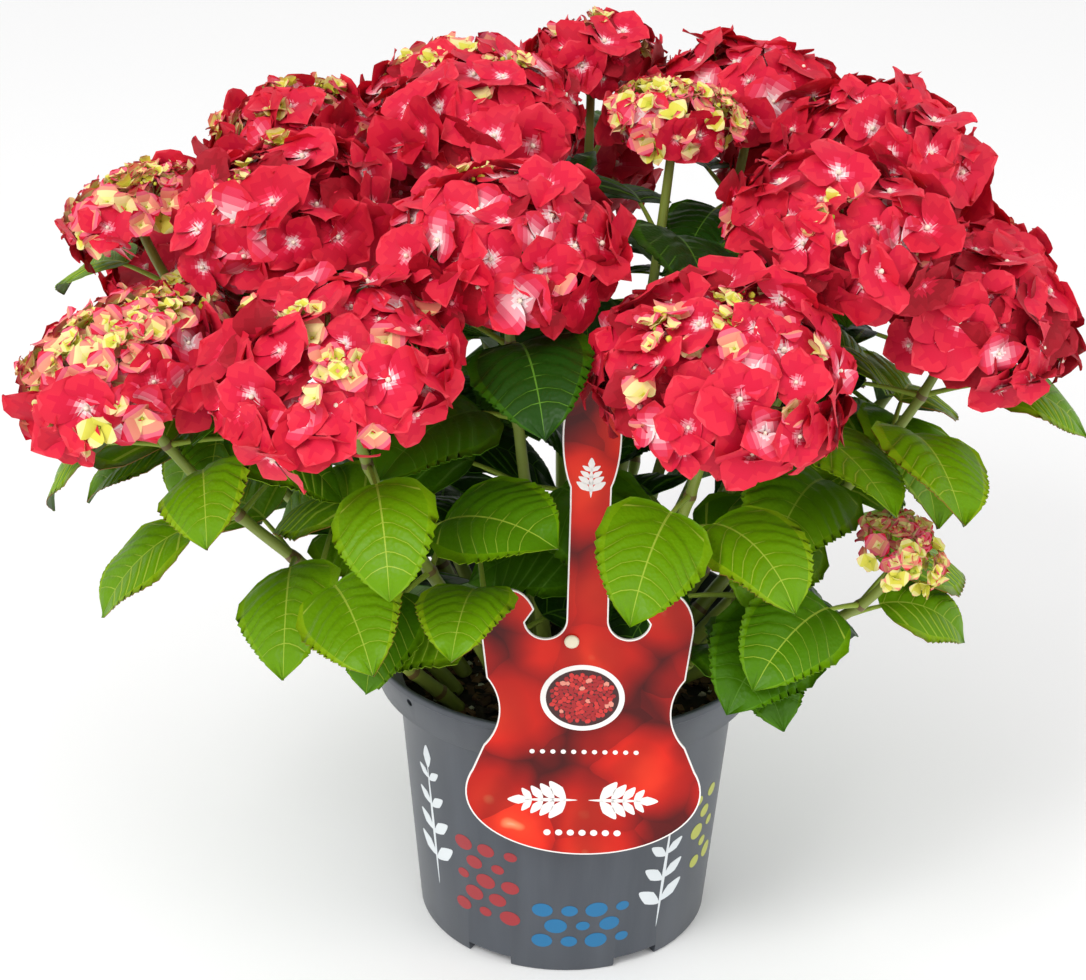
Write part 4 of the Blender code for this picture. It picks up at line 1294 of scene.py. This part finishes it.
# %% The pot's solid
half_lip = (WALL + LIP) / 2
lip_inside = RIM_RADIUS - 2 * half_lip
lip_turns = [math.radians(180 * step / LIP_STEPS) for step in range(LIP_STEPS + 1)]
lip = [((lip_inside + RIM_RADIUS) / 2 + half_lip * math.cos(turn),
        POT_HEIGHT - half_lip + half_lip * math.sin(turn)) for turn in lip_turns]
outside = [
    (FOOT_RADIUS - 12 * MM, 0.9 * MM),
    (FOOT_RADIUS - 11 * MM, 0.0),
    (FOOT_RADIUS - 1.6 * MM, 0.0),
    (FOOT_RADIUS - 0.5 * MM, 0.5 * MM),
    (wall_radius(1.6 * MM), 1.6 * MM),
    (wall_radius(60 * MM), 60 * MM),
    (wall_radius(110 * MM), 110 * MM),
    (wall_radius(COLLAR_BOTTOM - 1.8 * MM), COLLAR_BOTTOM - 1.8 * MM),
    (BODY_TOP_RADIUS + 0.6 * MM, COLLAR_BOTTOM - 0.3 * MM),
    (COLLAR_RADIUS - 0.8 * MM, COLLAR_BOTTOM),
    (COLLAR_RADIUS, COLLAR_BOTTOM + 0.8 * MM),
    (RIM_RADIUS - 1.1 * MM, POT_HEIGHT - 5.0 * MM),
    (RIM_RADIUS - 0.2 * MM, POT_HEIGHT - 4.2 * MM),
]
inside = [
    (lip_inside - 0.3 * MM, POT_HEIGHT - 4.0 * MM),
    (COLLAR_RADIUS - WALL, COLLAR_BOTTOM + 3.0 * MM),
    (BODY_TOP_RADIUS - WALL, COLLAR_BOTTOM + WALL),
    (wall_radius(80 * MM) - WALL, 80 * MM),
    (wall_radius(POT_FLOOR) - WALL, POT_FLOOR),
    (20 * MM, POT_FLOOR),
]
pot = turned_solid("pot_shell", outside + lip + inside, POT_SIDES)
for number in range(NOTCHES):
    turn = math.radians(360 / NOTCHES) * (number + 0.5) - math.radians(90)
    place = (NOTCH_RADIUS * math.cos(turn), NOTCH_RADIUS * math.sin(turn), 0)
    select_only()
    bpy.ops.mesh.primitive_cube_add(size=1.0, location=place, rotation=(0, 0, turn),
                                    scale=(NOTCH_DEPTH, NOTCH_WIDTH, 2 * NOTCH_HEIGHT))
    cut_away(pot, bpy.context.object)
hole_way = Vector((COLLAR_HOLE.x, COLLAR_HOLE.y, 0)).to_track_quat("Z", "Y").to_euler()
bpy.ops.mesh.primitive_cylinder_add(vertices=24, radius=HOLE_RADIUS, depth=14 * MM,
                                    location=COLLAR_HOLE, rotation=hole_way)
cut_away(pot, bpy.context.object)
print("pot:", len(pot.data.polygons), "faces")

# %% [markdown]
# ## Plastic for the pot
#
# Blown plastic is satin, not glossy: soft streaks run up its wall where the
# mould parts, and fine grain breaks the reflections. Roughness and a slight bump
# do that better than colour does.

# %% Pot plastic
def pot_plastic():
    """Slate grey polypropylene."""
    made = plain("pot_slate_polypropylene", "#464b53", 0.36, Specular_IOR_Level=0.5)
    tree, shader = shader_of(made)
    place = add_node(tree, "ShaderNodeTexCoord")
    stretch = add_node(tree, "ShaderNodeMapping", {"Scale": (60, 60, 6)},
                       Vector=place.outputs["Object"])
    streaks = add_node(tree, "ShaderNodeTexNoise", {"Scale": 1.0, "Detail": 3.0},
                       Vector=stretch.outputs["Vector"])
    grain = add_node(tree, "ShaderNodeTexNoise", {"Scale": 900.0, "Detail": 2.0},
                     Vector=place.outputs["Object"])
    shade = ramp_of(tree, streaks.outputs["Fac"], ((0.35, "#41464e"), (0.65, "#4b5058")))
    tree.links.new(shade, shader.inputs["Base Color"])
    rough = add_node(tree, "ShaderNodeMapRange", {"To Min": 0.30, "To Max": 0.44},
                     Value=streaks.outputs["Fac"])
    tree.links.new(rough.outputs["Result"], shader.inputs["Roughness"])
    bump = add_node(tree, "ShaderNodeBump", {"Strength": 0.12, "Distance": 0.0004},
                    Height=grain.outputs["Fac"])
    tree.links.new(bump.outputs["Normal"], shader.inputs["Normal"])
    return made


pot.data.materials.append(pot_plastic())


def smooth_by_angle(piece, degrees):
    """Smooth shading that keeps real corners sharp."""
    select_only(piece)
    bpy.ops.object.shade_smooth_by_angle(angle=math.radians(degrees))


smooth_by_angle(pot, 32)
hand_over(pot, "pot_plastic", "pot")
print("pot finished")

# %% [markdown]
# ## The print on the pot
#
# The wall is printed with rows of coloured dots and two white sprigs. Each dot or
# leaf is a thin disc modelled flat, as wide as it is printed, then bent round the
# wall: its sideways place becomes an angle, and its thickness stands off the cone.

# %% Printed shapes
PRINT_THICK = 0.30 * MM
LEAF_POINT = 0.45               # how much narrower a printed leaf gets to its ends
SPRIG_STEM, SPRIG_PAIRS = 2.4, 4        # width of a sprig's stem in mm, its pairs of leaves
INK_COLOURS = {
    "print_ink_red": "#a02a30",
    "print_ink_blue": "#156e9f",
    "print_ink_lime": "#b3b84e",
    "print_ink_white": "#dfe5e8",
    "print_paper_white": "#f4f0ec",
    "print_oval_dark": "#3a0a0c",
    "print_flower_red": "#a80f16",
    "print_flower_bright": "#d02a26",
    "print_flower_pale": "#e8917e",
}


def flat_disc(across, up, wide, tall, tilt, sides=20):
    """A thin disc in the flat plan of a print: sizes in mm, tilt in degrees."""
    select_only()
    bpy.ops.mesh.primitive_cylinder_add(
        vertices=sides, radius=0.5, depth=PRINT_THICK, end_fill_type="TRIFAN",
        location=(across * MM, up * MM, 0), rotation=(0, 0, math.radians(tilt)),
        scale=(wide * MM, tall * MM, 1.0))
    return bpy.context.object


def leaf_disc(across, up, long, wide, tilt):
    """A printed leaf: a disc with its two ends drawn out to points."""
    made = flat_disc(across, up, 1.0 / MM, 1.0 / MM, 0, 16)
    for vert in made.data.vertices:
        x, y = vert.co.x * 2, vert.co.y * 2
        vert.co.x = x * long * MM / 2
        vert.co.y = y * wide * MM / 2 * (1.0 - LEAF_POINT * abs(x))
    made.rotation_euler.z = math.radians(tilt)
    return made


def join(pieces, name):
    """Apply the pieces' placing and make them one object."""
    select_only(*pieces)
    bpy.ops.object.transform_apply(location=True, rotation=True, scale=True)
    bpy.ops.object.join()
    bpy.context.object.name = name
    return bpy.context.object


def sprig(across, foot, tall, lean, size):
    """A stem with leaves in pairs and one at its tip, in the flat plan."""
    pieces = [leaf_disc(across, foot + tall / 2, tall, SPRIG_STEM, 90 + lean)]
    slope = math.tan(math.radians(-lean))
    for row in range(SPRIG_PAIRS):
        up = foot + tall * (0.24 + 0.21 * row)
        middle = across + (up - foot - tall / 2) * slope
        long = size * (1.0 - 0.13 * row)
        for way in (-1, 1):
            pieces.append(leaf_disc(middle + way * long * 0.42, up + long * 0.26, long,
                                    long * 0.46, 90 - way * 54 + lean))
    top = across + tall * 0.5 * slope
    pieces.append(leaf_disc(top, foot + tall + size * 0.2, size * 0.8, size * 0.4, 90 + lean))
    return pieces


def ink(pieces, colour):
    """Give the shapes one printing ink."""
    made = bpy.data.materials.get(colour) or plain(colour, INK_COLOURS[colour], 0.42)
    for piece in pieces:
        piece.data.materials.append(made)
    return pieces


def wrap_on_wall(piece):
    """Bend a flat plan round the cone of the pot; plan X is measured along the wall."""
    for vert in piece.data.vertices:
        across, up, off = vert.co
        radius = wall_radius(up)
        turn = across / radius - math.radians(90)
        radius += off
        vert.co = (radius * math.cos(turn), radius * math.sin(turn), up)


# %% Dots in rows, and two sprigs
DOT_STEP, ROW_STEP = 15.5, 11.0


def dots(first, count, low, rows, sizes):
    """Staggered rows of dots from a place in the plan, a little uneven in size."""
    made = []
    for row in range(rows):
        for number in range(count - row % 2):
            across = first + DOT_STEP * (number + 0.5 * (row % 2))
            wide = sizes[(number + 2 * row) % len(sizes)]
            made.append(flat_disc(across, low + ROW_STEP * row, wide, wide * 0.78, 0))
    return made


print_pieces = ink(dots(-62, 3, 34, 5, (11, 8, 12.5)), "print_ink_red")
print_pieces += ink(dots(-12, 4, 22, 3, (12, 9.5, 13, 8)), "print_ink_blue")
print_pieces += ink(dots(90, 2, 52, 5, (10, 12.5, 8)), "print_ink_lime")
print_pieces += ink(sprig(-88, 36, 84, 6, 19) + sprig(62, 20, 78, -6, 19), "print_ink_white")
pot_print = join(print_pieces, "pot_print")
wrap_on_wall(pot_print)
smooth_by_angle(pot_print, 30)
hand_over(pot_print, None)
print("print:", len(pot_print.data.polygons), "faces")

# %% [markdown]
# ## Potting mix
#
# Peat and bark fill the pot to a few centimetres below the rim. The disc's top is
# made uneven with noise, and bark chips and pale grains of perlite lie on it.

# %% The mix and its chips
MIX_CLEAR = 0.5 * MM
MIX_RINGS, MIX_SIDES = 14, 72
CHIPS, GRAIN_EVERY = 900, 12    # each twelfth chip is a grain of perlite
mix_edge = wall_radius(MIX_TOP) - WALL - MIX_CLEAR
low_edge = wall_radius(POT_FLOOR) - WALL - MIX_CLEAR
mix_outline = [(low_edge * 0.2, POT_FLOOR + GAP), (low_edge, POT_FLOOR + GAP)]
mix_outline += [(mix_edge, MIX_TOP - 1.5 * MM)]
mix_outline += [(mix_edge * (1 - number / MIX_RINGS), MIX_TOP - 1.0 * MM)
                for number in range(MIX_RINGS)]
soil = turned_solid("mix_body", mix_outline, MIX_SIDES)
for vert in soil.data.vertices:
    if vert.co.z > MIX_TOP - 1.2 * MM:
        vert.co.z += 2.6 * MM * noise.noise(vert.co * 90) + 1.2 * MM * noise.noise(vert.co * 260)
soil.data.materials.append(plain("mix_dark_peat", "#1d140d", 0.95))
smooth_by_angle(soil, 50)
chips = Heap()
dice = random.Random(71)
CHIP_CORNERS = np.array([(x, y, z) for z in (-0.5, 0.5) for y in (-0.5, 0.5) for x in (-0.5, 0.5)])
CHIP_QUADS = np.array([(0, 2, 3, 1), (4, 5, 7, 6), (0, 1, 5, 4), (1, 3, 7, 5), (3, 2, 6, 7),
                       (2, 0, 4, 6)])
CHIP_COLOURS = {"bark_brown": "#4a3020", "bark_dark": "#2b1c12", "bark_pale": "#6e4d34",
                "perlite_white": "#cfc9bd"}
for number in range(CHIPS):
    reach, turn = (mix_edge - 4 * MM) * math.sqrt(dice.random()), dice.uniform(0, math.tau)
    grain = number % GRAIN_EVERY == 0
    size = Vector((dice.uniform(2, 3), 2.4, 2.0)) if grain else Vector(
        (dice.uniform(4, 11), dice.uniform(2, 5), dice.uniform(1, 2.4)))
    corners = CHIP_CORNERS * (1 + 0.35 * np.array([[dice.uniform(-1, 1)] * 3 for _ in range(8)]))
    tilt = Vector((dice.uniform(-0.4, 0.4), dice.uniform(-0.4, 0.4), 1.0))
    place = (reach * math.cos(turn), reach * math.sin(turn), MIX_TOP + dice.uniform(-1.0, 0.6) * MM)
    chips.add(placed(corners * np.array(size) * MM, basis(tilt.normalized(), turn * 5), place),
              CHIP_QUADS, 3 if grain else number % 3)
chip_finishes = [plain(name, colour, 0.85) for name, colour in CHIP_COLOURS.items()]
chip_piece = chips.piece("mix_chips", chip_finishes)
chip_piece.data.shade_flat()
hand_over(soil, "potting_mix", "potting_mix")
hand_over(chip_piece, "potting_mix")

# %% [markdown]
# ## The label
#
# A card of stiff plastic, cut to a fancy outline, hangs over the rim from a peg. A
# circle is laid on the outline and filled, extruded to the card's thickness, and its
# front face is inset, which leaves the thin white border that the cutter leaves. The
# card is modelled flat, and its leaning place is then kept in its mesh.

# %% The label's card
select_only()
bpy.ops.mesh.primitive_circle_add(vertices=len(ring), radius=1.0, fill_type="NGON")
label = bpy.context.object
label.name = "label_card"
for vert, (across, up) in zip(label.data.vertices, ring):
    vert.co = (across * MM, up * MM, 0.0)
label.data.materials.append(plain("label_white_edge", "#f1ece8", 0.35))
label.data.materials.append(plain("label_picture", "#c81414", 0.36, Specular_IOR_Level=0.25))
start_edit()
bpy.ops.mesh.extrude_region_move(TRANSFORM_OT_translate={"value": (0, 0, LABEL_THICK)})
bpy.ops.mesh.inset(thickness=LABEL_BORDER, depth=0.0)
label.active_material_index = 1
bpy.ops.object.material_slot_assign()
end_edit()
bpy.ops.mesh.primitive_cylinder_add(vertices=24, radius=PEG_RADIUS + 1.2 * GAP, depth=8 * MM,
                                    location=(PEG_ACROSS, PEG_UP, 0))
cut_away(label, bpy.context.object)


def settle(piece, place):
    """Stand a piece that was modelled flat in its place, and keep that in its mesh."""
    select_only(piece)
    piece.matrix_world = place
    bpy.ops.object.transform_apply(location=True, rotation=True, scale=True)


settle(label, label_frame())
print("label:", len(label.data.polygons), "faces")

# %% [markdown]
# ## The label's picture
#
# Big soft petals fill the card, red on red, with a pale glow at each heart. Voronoi
# cells bent by noise make the petals: the distance to a cell's middle runs through
# a ramp from the pale heart over scarlet to the dark gap between two petals, and
# each petal is a little darker or lighter than the next. A Mapping node turns the
# pattern with the card, so the petals lie in the card's own plane.

# %% Petal print
def petal_print(made):
    """Petals of about 30 mm, in the flat card's coordinates."""
    tree, shader = shader_of(made)
    place = add_node(tree, "ShaderNodeTexCoord")
    turn = {"vector_type": "TEXTURE", "Location": label_frame().to_translation(),
            "Rotation": label_frame().to_euler()}
    flat = add_node(tree, "ShaderNodeMapping", turn, Vector=place.outputs["Object"])
    warp = add_node(tree, "ShaderNodeTexNoise", {"Scale": 28.0, "Detail": 2.0},
                    Vector=flat.outputs["Vector"])
    bent = add_node(tree, "ShaderNodeMixRGB", {"blend_type": "ADD", "Fac": 0.022},
                    Color1=flat.outputs["Vector"], Color2=warp.outputs["Color"])
    cells = add_node(tree, "ShaderNodeTexVoronoi", {"Scale": 23.0, "Randomness": 0.9},
                     Vector=bent.outputs["Color"])
    folds = add_node(tree, "ShaderNodeTexWave", {"Scale": 9.0, "Distortion": 11.0, "Detail": 2.0},
                     Vector=bent.outputs["Color"])
    hearts = ramp_of(tree, cells.outputs["Distance"], (
        (0.0, "#ffe9d0"), (0.06, "#f58a5c"), (0.13, "#f23a1a"), (0.45, "#e6230c"),
        (0.60, "#bc140a"), (0.78, "#660606")))
    shade = ramp_of(tree, folds.outputs["Fac"], ((0.0, "#d4bcb8"), (1.0, "#ffffff")))
    mixed = add_node(tree, "ShaderNodeMixRGB", {"blend_type": "MULTIPLY", "Fac": 0.8},
                     Color1=hearts, Color2=shade)
    petal = ramp_of(tree, cells.outputs["Color"], ((0.25, "#c4a09a"), (0.75, "#ffffff")))
    parted = add_node(tree, "ShaderNodeMixRGB", {"blend_type": "MULTIPLY", "Fac": 0.9},
                      Color1=mixed.outputs["Color"], Color2=petal)
    tree.links.new(parted.outputs["Color"], shader.inputs["Base Color"])


petal_print(label.data.materials[1])
smooth_by_angle(label, 30)
hand_over(label, "label_card", "label")

# %% [markdown]
# ## Motifs on the label
#
# A white oval holds a round flower head, two white sprigs lie below it between rows
# of beads, and one stands on the neck. They are thin shapes, a hair's breadth above
# the card.

# %% Motifs
def turned_plan(pieces, degrees, up):
    """Shapes of a plan turned about its origin, then moved up."""
    bpy.context.view_layer.update()
    turn = Matrix.Translation((0, up * MM, 0)) @ Matrix.Rotation(math.radians(degrees), 4, "Z")
    for piece in pieces:
        piece.matrix_world = turn @ piece.matrix_world
    return pieces


def beads(count, step, up, wide):
    """A row of small discs, centred."""
    return [flat_disc(step * (number - (count - 1) / 2), up, wide, wide, 0, 12)
            for number in range(count)]


OVAL_ACROSS, OVAL_UP, OVAL_SIDES = -1.6, 23.0, 64
PRINTED_FLORETS = 120
FLOWER_INKS = ("print_flower_red", "print_flower_bright", "print_flower_pale")
PRINT_CLEAR = 0.02 * MM
white = [flat_disc(OVAL_ACROSS, OVAL_UP, 45, 42, 0, OVAL_SIDES)]
for degrees in (-90, 90):
    white += turned_plan(sprig(0, 3, 29, 0, 15), degrees, -44)
white += beads(11, 5.6, -12, 2.8) + beads(7, 6.4, -66, 4.0) + sprig(0, 146, 18, 0, 9)
motifs = ink(white, "print_paper_white")
dark = flat_disc(OVAL_ACROSS, OVAL_UP, 39, 36, 0, OVAL_SIDES)
dark.location.z = 0.10 * MM
motifs += ink([dark], "print_oval_dark")
dice = random.Random(73)
for number in range(PRINTED_FLORETS):
    reach, turn = math.sqrt((number + 0.5) / PRINTED_FLORETS), number * GOLDEN_ANGLE
    across, up = 17 * reach * math.cos(turn), 15.5 * reach * math.sin(turn)
    size = dice.uniform(2.8, 4.2)
    made = flat_disc(OVAL_ACROSS + across, OVAL_UP + up, size, size * 0.8,
                     dice.uniform(0, 180), 6)
    made.location.z = (0.16 + 0.02 * (number % 7)) * MM
    motifs += ink([made], dice.choices(FLOWER_INKS, (7, 4, 1))[0])
label_print = join(motifs, "label_print")
smooth_by_angle(label_print, 30)
settle(label_print, label_frame() @ Matrix.Translation((0, 0, LABEL_THICK + PRINT_CLEAR)))
hand_over(label_print, None)
print("motifs:", len(label_print.data.polygons), "faces")

# %% [markdown]
# ## Peg and stake
#
# The card hangs on a peg: the bent top of a stake that stands in the mix behind it.
# Its round head in front of the hole keeps the card on.

# %% The stake with its peg
def make_stake():
    """A tube from the mix up behind the label, bent forward and through it."""
    card = label_frame()
    spots = [(PEG_UP - 5.0 * MM, -13.0 * MM), (PEG_UP - 1.5 * MM, -11.5 * MM), (PEG_UP, -9.0 * MM),
             (PEG_UP, LABEL_THICK + GAP)]
    bend = [card @ Vector((PEG_ACROSS, up, off)) for up, off in spots]
    foot = Vector((bend[-2].x, STAKE_FOOT_Y, MIX_TOP + GAP))
    line = [foot, foot + Vector((0, 0, 4 * MM))]
    line += [line[-1].lerp(bend[0], share) for share in (0.25, 0.5, 0.75)] + bend
    head = [(LABEL_THICK + GAP + step * MM, PEG_HEAD_RADIUS * wide)
            for step, wide in ((0.01, 0.9), (0.3, 1.0), (1.2, 0.96), (1.7, 0.75), (1.9, 0.3))]
    line += [card @ Vector((PEG_ACROSS, PEG_UP, off)) for off, _ in head]
    radii = [PEG_RADIUS] * 9 + [wide for _, wide in head]
    heap = Heap()
    heap.add(*tube(line, radii, 20), 0)
    return heap.piece("stake_and_peg", [plain("stake_cream_polystyrene", "#e6dcc0", 0.4)])


hand_over(make_stake(), "stake_plastic", "label_stake")

# %% [markdown]
# ## Floor and light
#
# A product picture on white: a pale floor, an even pale surround, one large soft
# light from high on the left and a weaker one on the right.

# %% Floor
select_only()
bpy.ops.mesh.primitive_plane_add(size=16, location=(0, 4, 0))
floor = bpy.context.object
floor.name = "floor"
floor.data.materials.append(plain("floor_matt_white", "#ffffff", 0.9))

# %% Light
scene = bpy.context.scene
scene.view_settings.view_transform = "Standard"
world = bpy.data.worlds.new("surround")
scene.world = world
world.use_nodes = True
surround = world.node_tree.nodes["Background"].inputs
surround["Color"].default_value = linear("#ffffff")
surround["Strength"].default_value = 0.85
PLANT_MIDDLE = Vector((0, 0, 0.3))


def soft_light(name, place, size, power):
    """A square lamp that faces the middle of the plant."""
    lamp = bpy.data.lights.new(name, "AREA")
    lamp.size = size
    lamp.energy = power
    away = (Vector(place) - PLANT_MIDDLE).to_track_quat("Z", "Y")
    made = new_object(name, lamp)
    made.matrix_world = Matrix.Translation(place) @ away.to_matrix().to_4x4()


soft_light("key", (-1.1, -1.5, 1.9), 1.0, 30)
soft_light("fill", (1.6, -1.0, 1.2), 1.2, 9)
print("floor and lights ready")
